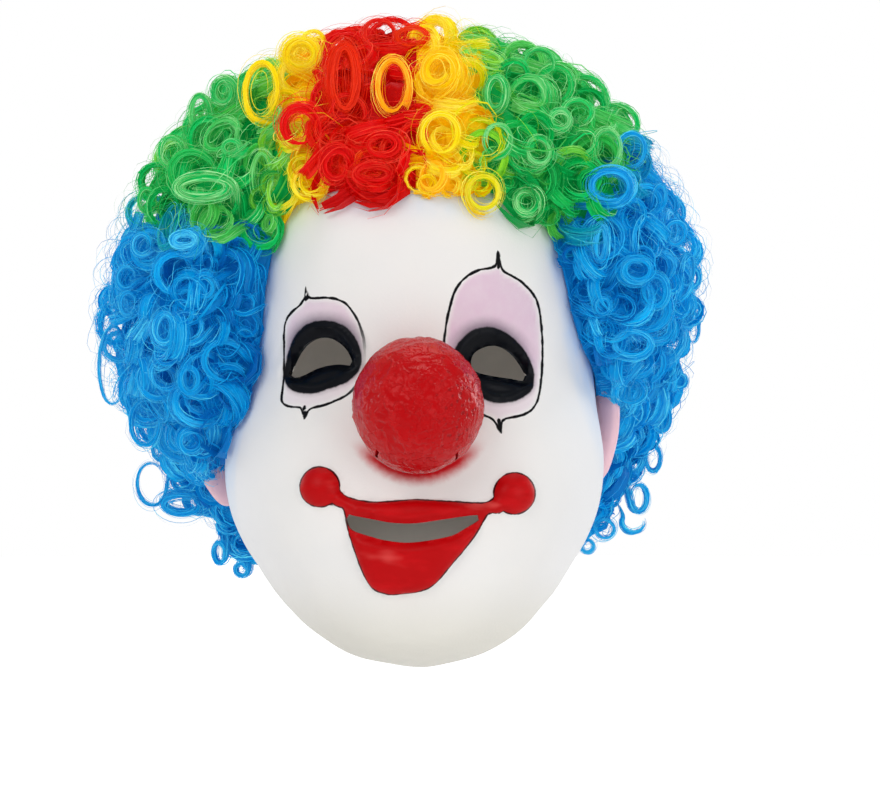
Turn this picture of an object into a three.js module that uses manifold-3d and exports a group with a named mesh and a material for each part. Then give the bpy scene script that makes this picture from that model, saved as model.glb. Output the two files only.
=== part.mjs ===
// A clown mask: a moulded latex head with cut eyes and mouth, a hollow ball nose, and a curly wig in blocks of colour.
// Millimetres, +Z up. The face looks along -Y, and left and right are as seen from in front, with +X to the right.
// The origin is the crown seat, where the top of the wearer's head touches the inside of the shell.
import * as THREE from "three";
import { mergeVertices } from "three/addons/utils/BufferGeometryUtils.js";
import Module from "manifold-3d";

const wasm = await Module();
wasm.setup();

// Latex shell
const maskHeight = 237; // crown seat down to the lowest point of the chin
const leftWidth = 80; // midline to the fullest point of the left cheek
const rightWidth = 78; // midline to the fullest point of the right cheek
const faceReach = 94; // crown seat forward to the lips
const backReach = 110; // crown seat back to the rearmost point
const wall = 2; // latex thickness
const seam = 0.3; // gap between pieces that touch
const belowRim = 308; // crown seat down to where the tools that hollow the shell end, well below its rim

// Face
const socketDepth = 6; // how far the eye sockets sink in
const cheekRise = 6; // how far the cheeks puff out
const lipRise = 4; // how far the lips stand proud of the face
const eyeHoleWidth = 26;
const mouthWidth = 55;
const lipBallRadius = 8.2;
const lipBallRise = 5.5;

// Nose
const noseWidth = 52;
const noseHeight = 54;
const noseWall = 2;
const noseSink = 15; // how deep the ball's centre would lie outside the face
const noseLift = 133; // crown seat down to the ball's centre
const noseShift = 1; // midline to the ball's centre
const noseHoleShare = 0.86; // hole behind the ball as a share of the ball's inner ring of contact
const nostrilWidth = 3;
const nostrilLength = 7;

// Ears
const earHeight = 50;
const earWidth = 30;
const earThickness = 8;
const earFlare = 24; // degrees that the back edge stands off the head
const leftEarDrop = 151; // crown seat down to the ear's centre
const rightEarDrop = 141;
const earSetBack = 2; // crown seat back to the ear's centre
const earLean = 8; // degrees that the top of the ear leans back
const earSeat = 0.985; // where the ear's centre stands, as a share of the half width

// Wig
const hairLeft = 142; // midline to the outside of the curls
const hairRight = 131;
const hairTop = 30; // height of the curls above the crown seat
const hairBottom = 236; // crown seat down to where the curls would meet under the head
const hairFront = 111; // crown seat forward to the curls over the forehead
const hairBack = 142; // crown seat back to the outside of the curls
const hairHeart = 110; // crown seat down to the level where the wig is widest
const backingFill = 0.76; // share of the wig's depth that is dense hair under the curls
const curlRadius = 14.5; // centre of a curl to the middle of its lock of hair
const curlThickness = 7; // half the thickness of the lock of hair that makes it
const curlCount = 76; // curls on a full ball, of which the face takes some away
const curlLean = 0.42; // radians that a curl leans over
const hairHang = 10; // how far the dense hair hangs below the shell behind the ears
const parting = 0.3; // gap between two blocks of colour
const partingFront = 75; // crown seat forward to where the partings meet the hairline

const outerTop = wall;
const outerHeight = maskHeight + wall;
const quarter = Math.PI / 2;
const golden = Math.PI * (3 - Math.sqrt(5));

// Sections of the shell from crown to rim. front, side and back are drops from the outside of the crown, as shares of
// its outer height; width, face and rear are shares of the half width, the face's reach and the back's reach; square
// says how boxy the section is, with 2 for an ellipse.
const sections = [
  { front: 0.008, side: 0.008, back: 0.008, width: 0.26, face: 0.25, rear: 0.22, square: 2.0 },
  { front: 0.047, side: 0.047, back: 0.047, width: 0.54, face: 0.52, rear: 0.5, square: 2.0 },
  { front: 0.121, side: 0.12, back: 0.121, width: 0.77, face: 0.75, rear: 0.74, square: 2.05 },
  { front: 0.22, side: 0.215, back: 0.215, width: 0.88, face: 0.88, rear: 0.88, square: 2.1 },
  { front: 0.345, side: 0.335, back: 0.32, width: 0.93, face: 0.94, rear: 0.965, square: 2.15 },
  { front: 0.455, side: 0.44, back: 0.425, width: 0.94, face: 0.95, rear: 1.0, square: 2.2 },
  { front: 0.565, side: 0.55, back: 0.525, width: 0.955, face: 0.955, rear: 0.99, square: 2.3 },
  { front: 0.67, side: 0.645, back: 0.62, width: 0.985, face: 0.965, rear: 0.945, square: 2.45 },
  { front: 0.77, side: 0.725, back: 0.7, width: 0.97, face: 0.98, rear: 0.87, square: 2.5 },
  { front: 0.87, side: 0.785, back: 0.76, width: 0.91, face: 0.97, rear: 0.79, square: 2.4 },
  { front: 0.955, side: 0.83, back: 0.8, width: 0.83, face: 0.91, rear: 0.73, square: 2.25 },
  { front: 1.0, side: 0.855, back: 0.83, width: 0.77, face: 0.74, rear: 0.69, square: 2.15 },
  { front: 0.98, side: 0.865, back: 0.845, width: 0.71, face: 0.53, rear: 0.655, square: 2.1 },
];

// Bumps and dents of the face. x is a share of the half width, down a share of the mask's height, and across and tall
// are the bump's half sizes as shares of the half width. rise is along the surface's outward normal.
const relief = [
  { x: -0.47, down: 0.487, across: 0.27, tall: 0.24, rise: -socketDepth },
  { x: 0.42, down: 0.49, across: 0.27, tall: 0.24, rise: -socketDepth },
  { x: -0.66, down: 0.672, across: 0.38, tall: 0.4, rise: cheekRise },
  { x: 0.66, down: 0.66, across: 0.38, tall: 0.4, rise: cheekRise },
  { x: 0.0, down: 0.785, across: 0.42, tall: 0.3, rise: cheekRise / 2 },
  { x: 0.06, down: 0.945, across: 0.36, tall: 0.16, rise: cheekRise / 2 },
];

// Where the hair ends and where the blue hair begins, by the turn from straight ahead in degrees. All are drops below
// the crown seat on the left and right, as shares of the mask's height.
const hairline = [
  { turn: 0, left: 0.2, right: 0.2, blueLeft: 0.29, blueRight: 0.29 },
  { turn: 25, left: 0.21, right: 0.21, blueLeft: 0.29, blueRight: 0.29 },
  { turn: 42, left: 0.24, right: 0.235, blueLeft: 0.285, blueRight: 0.28 },
  { turn: 51, left: 0.3, right: 0.3, blueLeft: 0.275, blueRight: 0.265 },
  { turn: 58, left: 0.51, right: 0.46, blueLeft: 0.265, blueRight: 0.23 },
  { turn: 66, left: 0.59, right: 0.5, blueLeft: 0.25, blueRight: 0.18 },
  { turn: 80, left: 0.63, right: 0.52, blueLeft: 0.22, blueRight: 0.11 },
  { turn: 96, left: 0.67, right: 0.57, blueLeft: 0.21, blueRight: 0.09 },
  { turn: 108, left: 0.83, right: 0.8, blueLeft: 0.21, blueRight: 0.11 },
  { turn: 135, left: 0.86, right: 0.86, blueLeft: 0.23, blueRight: 0.2 },
  { turn: 180, left: 0.86, right: 0.86, blueLeft: 0.25, blueRight: 0.25 },
];

// Partings between the blocks of colour on top, as upright planes: where each meets the front hairline, as a share of
// the half width, and how far it moves left for each millimetre back.
const partings = {
  greenYellowLeft: { start: -0.68, lean: 0.14 },
  yellowRed: { start: -0.52, lean: 0 },
  redYellow: { start: 0, lean: 0 },
  yellowGreenRight: { start: 0.36, lean: 0.06 },
};

const latex = new THREE.MeshStandardMaterial({ color: 0xeeecee, roughness: 0.55, metalness: 0 });
const nosePaint = new THREE.MeshStandardMaterial({ color: 0xb8101a, roughness: 0.35, metalness: 0 });
const fibre = (color) => new THREE.MeshStandardMaterial({ color, roughness: 0.5, metalness: 0 });
const redHair = fibre(0xd8201c);
const yellowHair = fibre(0xf5c800);
const greenHair = fibre(0x1fa544);
const blueHair = fibre(0x0b7fd0);

// Blocks of hair of one colour: above (+1) or below (-1) the top of the blue hair, and between two partings or, where
// there is none, out to the end of the hair.
const blocks = [
  { name: "hair_red", look: redHair, tier: 1, from: partings.yellowRed, to: partings.redYellow },
  { name: "hair_yellow_left", look: yellowHair, tier: 1, from: partings.greenYellowLeft, to: partings.yellowRed },
  { name: "hair_yellow_right", look: yellowHair, tier: 1, from: partings.redYellow, to: partings.yellowGreenRight },
  { name: "hair_green_left", look: greenHair, tier: 1, from: null, to: partings.greenYellowLeft },
  { name: "hair_green_right", look: greenHair, tier: 1, from: partings.yellowGreenRight, to: null },
  { name: "hair_blue", look: blueHair, tier: -1, from: null, to: null },
];

// A value between the rows of a table, on a smooth curve through them. at counts rows from 0.
function alongRows(rows, column, at) {
  const last = rows.length - 1;
  const i = Math.min(Math.max(Math.floor(at), 0), last - 1);
  const t = at - i;
  const value = (k) => rows[Math.min(Math.max(k, 0), last)][column];
  const [a, b, c, d] = [value(i - 1), value(i), value(i + 1), value(i + 2)];
  return b + 0.5 * t * (c - a + t * (2 * a - 5 * b + 4 * c - d + t * (3 * (b - c) + d - a)));
}

// A value between the rows of a table that lists its own key, in straight steps.
function byKey(rows, key, column, at) {
  const next = rows.findIndex((row) => row[key] >= at);
  if (next <= 0) return rows[Math.max(next, 0)][column];
  const [a, b] = [rows[next - 1], rows[next]];
  return a[column] + ((b[column] - a[column]) * (at - a[key])) / (b[key] - a[key]);
}

const smooth = (t) => {
  const s = Math.min(Math.max(t, 0), 1);
  return s * s * (3 - 2 * s);
};
const bent = (value, power) => Math.sign(value) * Math.abs(value) ** power;

// The shell before its relief: turn is the angle from straight ahead, positive to the right, and level runs from 0 at
// the first section to 1 at the rim.
function plainPoint(turn, level) {
  const at = level * (sections.length - 1);
  const power = 2 / alongRows(sections, "square", at);
  const across = bent(Math.sin(turn), power);
  const ahead = bent(Math.cos(turn), power);
  const half = across < 0 ? leftWidth : rightWidth;
  const reach = ahead > 0 ? faceReach * alongRows(sections, "face", at) : backReach * alongRows(sections, "rear", at);
  const side = alongRows(sections, "side", at);
  const end = alongRows(sections, ahead > 0 ? "front" : "back", at);
  const drop = side + (end - side) * Math.abs(Math.cos(turn)) ** 1.6;
  return new THREE.Vector3(
    across * half * alongRows(sections, "width", at),
    -ahead * reach,
    outerTop - drop * outerHeight,
  );
}

// The outward normal of a surface given as a function of turn and level.
function normalOf(surface, turn, level) {
  const step = 1e-3;
  const down = surface(turn, Math.min(level + step, 1)).sub(surface(turn, Math.max(level - step, 0)));
  const round = surface(turn + step, level).sub(surface(turn - step, level));
  return down.cross(round).normalize();
}

function reliefAt(point) {
  let rise = 0;
  for (const bump of relief) {
    const half = bump.x < 0 ? leftWidth : rightWidth;
    const dx = (point.x - bump.x * half) / (bump.across * half);
    const dz = (point.z + bump.down * maskHeight) / (bump.tall * half);
    rise += bump.rise * Math.exp(-dx * dx - dz * dz);
  }
  return rise * smooth(-point.y / (faceReach / 2));
}

// The finished outside of the shell.
function shellPoint(turn, level) {
  const point = plainPoint(turn, level);
  return point.addScaledVector(normalOf(plainPoint, turn, level), reliefAt(point));
}

function offsetPoint(turn, level, offset) {
  return shellPoint(turn, level).addScaledVector(normalOf(shellPoint, turn, level), offset);
}

// Turns of the shell's columns, closer together across the face than at the back.
const columns = 34;
const crowding = 0.34;
const turns = Array.from({ length: columns }, (_, i) => {
  const s = (2 * Math.PI * i) / columns - Math.PI;
  return s - crowding * Math.sin(s);
});
const rings = 16;
const levels = Array.from({ length: rings }, (_, i) => i / (rings - 1));

// A closed solid through rings of equally many points, with a point that closes each end.
function loft(sectionRings, start, end) {
  const count = sectionRings[0].length;
  const points = [start, ...sectionRings.flat(), end];
  const faces = [];
  const at = (ring, i) => 1 + ring * count + (i % count);
  for (let i = 0; i < count; i++) faces.push(0, at(0, i + 1), at(0, i));
  for (let ring = 0; ring + 1 < sectionRings.length; ring++) {
    for (let i = 0; i < count; i++) {
      faces.push(at(ring, i), at(ring, i + 1), at(ring + 1, i));
      faces.push(at(ring, i + 1), at(ring + 1, i + 1), at(ring + 1, i));
    }
  }
  const last = sectionRings.length - 1;
  for (let i = 0; i < count; i++) faces.push(points.length - 1, at(last, i), at(last, i + 1));
  const geometry = new THREE.BufferGeometry();
  geometry.setAttribute("position", new THREE.Float32BufferAttribute(points.flatMap((p) => [p.x, p.y, p.z]), 3));
  geometry.setIndex(faces);
  return solidOf(geometry);
}

function solidOf(geometry) {
  const bare = new THREE.BufferGeometry();
  bare.setAttribute("position", geometry.getAttribute("position"));
  if (geometry.index) bare.setIndex(geometry.index);
  const merged = mergeVertices(bare, 1e-4);
  const build = (triVerts) =>
    new wasm.Manifold(
      new wasm.Mesh({ numProp: 3, vertProperties: merged.getAttribute("position").array, triVerts }),
    );
  const triVerts = new Uint32Array(merged.index.array);
  const solid = build(triVerts);
  return solid.volume() > 0 ? solid : build(triVerts.slice().reverse());
}

function placed(geometry, matrix) {
  return solidOf(geometry.clone().applyMatrix4(matrix));
}

const move = (x, y, z) => new THREE.Matrix4().makeTranslation(x, y, z);
const united = (solids) => solids.reduce((sum, solid) => sum.add(solid));

// The one body that holds on to the backing, without crumbs or sealed pockets.
function wholeBody(solid) {
  return solid.decompose().sort((a, b) => b.volume() - a.volume())[0];
}

const ringAt = (level, offset) => turns.map((turn) => offsetPoint(turn, level, offset));
const dropped = (ring, z) => ring.map((p) => new THREE.Vector3(p.x, p.y, z));

// Everything inside the shell's outer face, grown by a clearance and carried on down below the rim.
function headCore(clearance) {
  const outside = levels.map((level) => ringAt(level, clearance));
  outside.push(dropped(outside.at(-1), -belowRim));
  return loft(outside, new THREE.Vector3(0, 0, outerTop + clearance), new THREE.Vector3(0, 0, -belowRim));
}

function hollowHead() {
  const outside = levels.map((level) => ringAt(level, 0));
  const inside = levels.map((level) => ringAt(level, -wall)).reverse();
  return loft([...outside, ...inside], new THREE.Vector3(0, 0, outerTop), new THREE.Vector3(0, 0, outerTop - wall));
}

// The shell's outer face straight behind a point of the front view.
function faceAt(x, z) {
  let turn = 0;
  let level = 0.5;
  for (let pass = 0; pass < 24; pass++) {
    const here = shellPoint(turn, level);
    const step = 1e-3;
    const byTurn = shellPoint(turn + step, level).sub(here).divideScalar(step);
    const byLevel = shellPoint(turn, level + step).sub(here).divideScalar(step);
    const det = byTurn.x * byLevel.z - byLevel.x * byTurn.z;
    const dx = x - here.x;
    const dz = z - here.z;
    turn += (0.8 * (dx * byLevel.z - dz * byLevel.x)) / det;
    level += (0.8 * (dz * byTurn.x - dx * byTurn.z)) / det;
    turn = Math.min(Math.max(turn, -quarter), quarter);
    level = Math.min(Math.max(level, 0), 0.97);
  }
  return shellPoint(turn, level).y;
}

// Eyes. x is a share of the half width and down a share of the mask's height, at the middle of the line between the
// corners; arch and sag are shares of the hole's width above and below that line, and tilt turns it in degrees.
const eyes = [
  { x: -0.474, down: 0.5, arch: 0.5, sag: 0.03, tilt: 10 },
  { x: 0.414, down: 0.502, arch: 0.38, sag: 0.13, tilt: -22 },
];

function eyeOutline(eye) {
  const half = eyeHoleWidth / 2;
  const steps = 7;
  const points = [];
  for (let i = 0; i < steps; i++) {
    const t = -1 + (2 * i) / steps;
    points.push([t * half, eye.arch * eyeHoleWidth * Math.sqrt(1 - t * t)]);
  }
  for (let i = 0; i < steps; i++) {
    const t = 1 - (2 * i) / steps;
    points.push([t * half, -eye.sag * eyeHoleWidth * (1 - t * t)]);
  }
  return points;
}

// A straight cutter along Y through the front of the face. Its outline is x and z from a centre.
function frontCutter(outline, x, z, tilt) {
  const shape = new THREE.Shape(outline.map(([px, pz]) => new THREE.Vector2(px, pz)));
  const geometry = new THREE.ExtrudeGeometry(shape, { depth: faceReach, bevelEnabled: false });
  const matrix = move(x, -faceReach * 0.55, z)
    .multiply(new THREE.Matrix4().makeRotationX(quarter))
    .multiply(new THREE.Matrix4().makeRotationZ(THREE.MathUtils.degToRad(tilt)));
  return placed(geometry, matrix);
}

// Mouth and lips, station by station across the mouth. at is a share of half the mouth's width; the other columns are
// drops below the mouth's corners as shares of the mouth's width, negative above them. The upper lip lies between
// lipTop and gapTop, the opening between gapTop and gapBottom, and the lower lip between gapBottom and chinEdge.
const mouthCentre = { x: 0, down: 0.743 };
const mouth = [
  { at: -1.0, lipTop: -0.115, gapTop: 0.0, gapBottom: 0.03, chinEdge: 0.06 },
  { at: -0.9, lipTop: -0.115, gapTop: 0.02, gapBottom: 0.1, chinEdge: 0.31 },
  { at: -0.7, lipTop: -0.11, gapTop: 0.035, gapBottom: 0.145, chinEdge: 0.5 },
  { at: -0.4, lipTop: -0.105, gapTop: 0.05, gapBottom: 0.18, chinEdge: 0.585 },
  { at: 0.0, lipTop: -0.125, gapTop: 0.055, gapBottom: 0.195, chinEdge: 0.58 },
  { at: 0.4, lipTop: -0.11, gapTop: 0.04, gapBottom: 0.18, chinEdge: 0.5 },
  { at: 0.7, lipTop: -0.095, gapTop: 0.02, gapBottom: 0.135, chinEdge: 0.32 },
  { at: 0.9, lipTop: -0.095, gapTop: 0.01, gapBottom: 0.08, chinEdge: 0.18 },
  { at: 1.0, lipTop: -0.1, gapTop: 0.0, gapBottom: 0.03, chinEdge: 0.08 },
];
const mouthX = (row) => mouthCentre.x + (row.at * mouthWidth) / 2;
const mouthZ = (share) => -mouthCentre.down * maskHeight - share * mouthWidth;

// A raised lip draped on the face, between two columns of the mouth's table.
function lip(top, bottom) {
  const sectionsOfLip = mouth.map((row) => {
    const x = mouthX(row);
    const fade = 0.35 + 0.65 * Math.sqrt(Math.max(1 - row.at * row.at, 0));
    const front = [0, 0.3, 0.7, 1].map((t) => {
      const z = mouthZ(row[top] + (row[bottom] - row[top]) * t);
      const rise = lipRise * fade * (0.35 + 0.65 * Math.sin(Math.PI * t));
      return new THREE.Vector3(x, faceAt(x, z) - rise, z);
    });
    const behind = [front.at(-1), front.at(0)].map((p) => new THREE.Vector3(x, faceAt(x, p.z) + wall / 2, p.z));
    return [...front, ...behind];
  });
  const middle = (ring) => ring.reduce((sum, p) => sum.add(p), new THREE.Vector3()).divideScalar(ring.length);
  return loft(sectionsOfLip, middle(sectionsOfLip[0]), middle(sectionsOfLip.at(-1)));
}

function mouthCutter() {
  const upper = mouth.map((row) => [mouthX(row), mouthZ(row.gapTop)]);
  const lower = mouth.slice(1, -1).map((row) => [mouthX(row), mouthZ(row.gapBottom)]);
  return frontCutter([...upper, ...lower.reverse()], 0, 0, 0);
}

// The balls at the corners of the painted smile: x as a share of half the mouth's width, up as a share of that width.
const lipBalls = [
  { x: -1.38, up: 0.19 },
  { x: 1.4, up: 0.15 },
];

function lipBall(ball) {
  const x = mouthCentre.x + (ball.x * mouthWidth) / 2;
  const z = mouthZ(-ball.up);
  const shape = new THREE.Matrix4().makeScale(1, lipBallRise / lipBallRadius, 1);
  const slope = Math.atan2(faceAt(x - 4, z) - faceAt(x + 4, z), 8);
  const turned = new THREE.Matrix4().makeRotationZ(-slope);
  const at = move(x, faceAt(x, z), z);
  return placed(new THREE.SphereGeometry(lipBallRadius, 10, 6), at.multiply(turned).multiply(shape));
}

// A short bridge that runs the upper lip out into its ball.
function lipCorner(ball, row) {
  const from = new THREE.Vector2(mouthX(row) * 0.94, mouthZ((row.lipTop + row.gapTop) / 2));
  const to = new THREE.Vector2(mouthCentre.x + (ball.x * mouthWidth) / 2, mouthZ(-ball.up));
  const thick = lipBallRadius * 0.42;
  const stations = [0, 0.33, 0.66, 1].map((t) => {
    const mid = from.clone().lerp(to, t);
    const y = faceAt(mid.x, mid.y);
    return [0, 1, 2, 3, 4, 5].map((k) => {
      const angle = (k * Math.PI) / 3;
      return new THREE.Vector3(mid.x, y - lipRise * 0.6 * Math.sin(angle), mid.y + thick * Math.cos(angle));
    });
  });
  const centre = (p) => new THREE.Vector3(p.x, faceAt(p.x, p.y), p.y);
  return loft(stations, centre(from), centre(to));
}

// Ears: a flattened flap with a hollow in its outer face.
function earMatrix(side, drop) {
  const half = side < 0 ? leftWidth : rightWidth;
  return move(side * half * earSeat, earSetBack, -drop)
    .multiply(new THREE.Matrix4().makeRotationZ(side * THREE.MathUtils.degToRad(earFlare)))
    .multiply(new THREE.Matrix4().makeRotationX(THREE.MathUtils.degToRad(earLean)));
}

function earFlap(side, drop, grow) {
  const size = new THREE.Matrix4().makeScale(earThickness / 2 + grow, earWidth / 2 + grow, earHeight / 2 + grow);
  return placed(new THREE.SphereGeometry(1, 10, 8), earMatrix(side, drop).multiply(size));
}

function ear(side, drop) {
  const bowl = new THREE.Matrix4().makeScale(earThickness * 0.42, earWidth * 0.3, earHeight * 0.3);
  const hollow = earMatrix(side, drop).multiply(move((side * earThickness) / 2, 1, 1)).multiply(bowl);
  return earFlap(side, drop, 0).subtract(placed(new THREE.SphereGeometry(1, 8, 6), hollow));
}

// Nose
const noseCentre = new THREE.Vector3(noseShift, faceAt(noseShift, -noseLift) - noseSink, -noseLift);

function noseBall(inset) {
  const size = new THREE.Matrix4().makeScale(noseWidth / 2 - inset, noseWidth / 2 - inset, noseHeight / 2 - inset);
  const at = move(noseCentre.x, noseCentre.y, noseCentre.z);
  return placed(new THREE.SphereGeometry(1, 14, 9), at.multiply(size));
}

function breathingSlit(side) {
  const at = move(noseCentre.x + (side * noseWidth) / 5, noseCentre.y, noseCentre.z - noseHeight / 2);
  return placed(new THREE.BoxGeometry(nostrilWidth, nostrilLength, noseHeight / 2), at);
}

function nose() {
  const shell = noseBall(0).subtract(noseBall(noseWall)).subtract(headCore(seam));
  return wholeBody(shell.subtract(breathingSlit(-1)).subtract(breathingSlit(1)));
}

// The hole in the face behind the ball, inside the ball's own ring of contact.
function noseHole() {
  const contact = Math.sqrt((noseWidth / 2 - noseWall) ** 2 - noseSink ** 2);
  const radius = contact * noseHoleShare;
  const steps = 12;
  const outline = Array.from({ length: steps }, (_, i) => {
    const angle = (2 * Math.PI * i) / steps;
    return [radius * Math.cos(angle), radius * Math.sin(angle)];
  });
  return frontCutter(outline, noseCentre.x, noseCentre.z, 0);
}

function maskShell() {
  const lips = [
    lip("lipTop", "gapTop"),
    lip("gapBottom", "chinEdge"),
    lipCorner(lipBalls[0], mouth.at(0)),
    lipCorner(lipBalls[1], mouth.at(-1)),
    ...lipBalls.map(lipBall),
  ];
  const inner = loft(
    [...levels.map((level) => ringAt(level, -wall)), dropped(ringAt(1, -wall), -belowRim)],
    new THREE.Vector3(0, 0, outerTop - wall),
    new THREE.Vector3(0, 0, -belowRim),
  );
  const added = united([...lips, ear(-1, leftEarDrop), ear(1, rightEarDrop)]).subtract(inner);
  const holes = eyes.map((eye) =>
    frontCutter(eyeOutline(eye), eye.x * (eye.x < 0 ? leftWidth : rightWidth), -eye.down * maskHeight, eye.tilt),
  );
  return wholeBody(hollowHead().add(added).subtract(united([...holes, mouthCutter(), noseHole()])));
}

// Wig
const heart = new THREE.Vector3(0, 0, -hairHeart);

// A height read from the hairline table at a turn, from its column for the left or for the right.
function hairHeight(turn, sides) {
  const degrees = Math.min(Math.abs(THREE.MathUtils.radToDeg(turn)), 180);
  return -maskHeight * byKey(hairline, "turn", sides[turn < 0 ? 0 : 1], degrees);
}
const hairEnd = (turn) => hairHeight(turn, ["left", "right"]);
const blueStart = (turn) => hairHeight(turn, ["blueLeft", "blueRight"]);

// The level of the shell at which its outside reaches a height, at a turn.
function levelAt(turn, z) {
  let low = 0;
  let high = 1;
  for (let pass = 0; pass < 22; pass++) {
    const middle = (low + high) / 2;
    if (plainPoint(turn, middle).z > z) low = middle;
    else high = middle;
  }
  return low;
}

// How many times as far out as a point of the shell the outside of the curls lies, seen from the wig's heart.
function reachRatio(point) {
  const d = point.clone().sub(heart);
  const rx = d.x < 0 ? hairLeft : hairRight;
  const ry = d.y < 0 ? hairFront : hairBack;
  const rz = d.z < 0 ? hairBottom - hairHeart : hairTop + hairHeart;
  return Math.max(1 / Math.hypot(d.x / rx, d.y / ry, d.z / rz), 1);
}

// A point of the wig over the shell. share runs from 0 at the crown to 1 at the hairline, and fill from 0 at the shell
// to 1 at the outside of the curls.
function hairPoint(turn, share, fill) {
  const base = shellPoint(turn, share * levelAt(turn, hairEnd(turn)));
  const depth = (reachRatio(base) - 1) * fill * (0.4 + 0.6 * smooth((1 - share) / 0.3));
  const point = base.clone().addScaledVector(base.sub(heart), depth);
  point.z -= hairHang * share ** 4 * smooth((Math.abs(turn) - quarter) / 0.35);
  return point;
}

const hairColumns = 22;
const hairRings = 7;
const hairTurns = Array.from({ length: hairColumns }, (_, i) => (2 * Math.PI * i) / hairColumns - Math.PI);

// The dense hair under the curls.
function backing() {
  const shares = Array.from({ length: hairRings }, (_, i) => (i + 0.5) / (hairRings - 0.5));
  const inset = 3 * wall;
  const outside = shares.map((share) => hairTurns.map((turn) => hairPoint(turn, share, backingFill)));
  const inside = [...shares]
    .reverse()
    .map((share) => hairTurns.map((turn) => offsetPoint(turn, share * levelAt(turn, hairEnd(turn)), -inset)));
  return loft([...outside, ...inside], hairPoint(0, 0, backingFill), new THREE.Vector3(0, 0, outerTop - inset));
}

// The turn of the shell's section that a point lies beyond.
const turnOf = ({ x, y }) => Math.atan2(x / (x < 0 ? leftWidth : rightWidth), -y / (y < 0 ? faceReach : backReach));

// The point on the outside of the curls in a direction from the wig's heart, or nothing where the face shows.
function hairToward(aim) {
  const turn = turnOf(aim);
  const slope = aim.z / Math.hypot(aim.x, aim.y);
  let low = 0;
  let high = 1;
  for (let pass = 0; pass < 22; pass++) {
    const middle = (low + high) / 2;
    const d = hairPoint(turn, middle, 1).sub(heart);
    if (d.z / Math.hypot(d.x, d.y) > slope) low = middle;
    else high = middle;
  }
  return high < 0.99 ? hairPoint(turn, low, 1) : null;
}

const partingX = ({ start, lean }, y) => start * (start < 0 ? leftWidth : rightWidth) - lean * (y + partingFront);
// The block of hair at a point, with the room across it there.
function blockAt(point) {
  const tier = point.z > blueStart(turnOf(point)) ? 1 : -1;
  for (const block of blocks.filter((one) => one.tier === tier)) {
    const low = block.from ? partingX(block.from, point.y) : -Infinity;
    const high = block.to ? partingX(block.to, point.y) : Infinity;
    if (point.x >= low && point.x < high) return { block, low, high };
  }
  return null;
}

// Curls are spread evenly over directions from the wig's heart, leaving out those that would cover the face. Each is
// then moved clear of the partings round its block, and made smaller where the block is narrow.
function curls() {
  const made = blocks.map(() => []);
  for (let i = 0; i < curlCount; i++) {
    const up = 1 - (2 * i + 1) / curlCount;
    const flat = Math.sqrt(1 - up * up);
    const aim = new THREE.Vector3(flat * Math.sin(i * golden), -flat * Math.cos(i * golden), up);
    const first = hairToward(aim);
    if (!first) continue;
    const { block, low, high } = blockAt(first);
    const size = Math.min(0.85 + 0.3 * ((i * 0.618) % 1), (high - low) / 2 / (curlRadius + curlThickness + parting));
    const reach = size * (curlRadius + curlThickness + parting);
    let point = first;
    for (let pass = 0; pass < 2 && point; pass++) {
      const tierEdge = blueStart(turnOf(point)) + block.tier * reach;
      const x = Math.min(Math.max(point.x, low + reach), high - reach);
      const z = block.tier > 0 ? Math.max(point.z, tierEdge) : Math.min(point.z, tierEdge);
      if (x !== point.x || z !== point.z) point = hairToward(new THREE.Vector3(x, point.y, z).sub(heart));
    }
    if (point) made[blocks.indexOf(block)].push(curl(point, size, i));
  }
  return made;
}

// One curl: a coil of hair with a hollow middle, rooted in the dense hair and leaning a different way each time.
function curl(outside, size, i) {
  const radius = size * curlRadius;
  const tube = size * curlThickness;
  const profile = [
    [0, -3 * tube],
    [radius + tube, -tube],
    [radius + tube * 0.7, tube * 0.6],
    [radius - tube * 0.4, tube],
    [0, -tube],
  ];
  const coil = new THREE.LatheGeometry(profile.map(([r, h]) => new THREE.Vector2(r, h)), 7);
  const aim = outside.clone().sub(heart).normalize();
  const across = new THREE.Vector3(-aim.y, aim.x, 0).normalize().applyAxisAngle(aim, i * golden);
  const axis = aim.clone().addScaledVector(across, Math.tan(curlLean));
  const turned = new THREE.Matrix4().makeRotationFromQuaternion(
    new THREE.Quaternion().setFromUnitVectors(new THREE.Vector3(0, 1, 0), axis.normalize()),
  );
  const at = outside.clone().addScaledVector(aim, -tube - radius * Math.sin(curlLean) * 0.5);
  return placed(coil, move(at.x, at.y, at.z).multiply(turned));
}

// Everything on the far side of a plane, as a block to cut away. away points out of what is kept.
function beyond(point, away) {
  const size = 4 * hairBack;
  const turned = new THREE.Matrix4().makeRotationFromQuaternion(
    new THREE.Quaternion().setFromUnitVectors(new THREE.Vector3(0, 0, 1), away.clone().normalize()),
  );
  const at = move(point.x, point.y, point.z).multiply(turned).multiply(move(0, 0, size / 2));
  return placed(new THREE.BoxGeometry(size, size, size), at);
}

// Everything left (-1) or right (+1) of a parting, set off by half the gap.
function besideParting(line, side) {
  const point = new THREE.Vector3(partingX(line, -partingFront) - (side * parting) / 2, -partingFront, 0);
  return beyond(point, new THREE.Vector3(side, side * line.lean, 0));
}

// Everything above (+1) or below (-1) the top of the blue hair, set off by half the gap.
function besideTier(side) {
  const far = 3 * hairBack;
  const ring = (grow) =>
    hairTurns.map((turn) => {
      const x = grow * (turn < 0 ? leftWidth : rightWidth) * Math.sin(turn);
      const y = -grow * (Math.abs(turn) < quarter ? faceReach : backReach) * Math.cos(turn);
      return new THREE.Vector3(x, y, blueStart(turn) - (side * parting) / 2);
    });
  const [near, edge] = [ring(0.2), ring(4)];
  const middle = new THREE.Vector3(0, 0, blueStart(0));
  return loft([near, edge, dropped(edge, side * far)], middle, new THREE.Vector3(0, 0, side * far));
}

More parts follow.
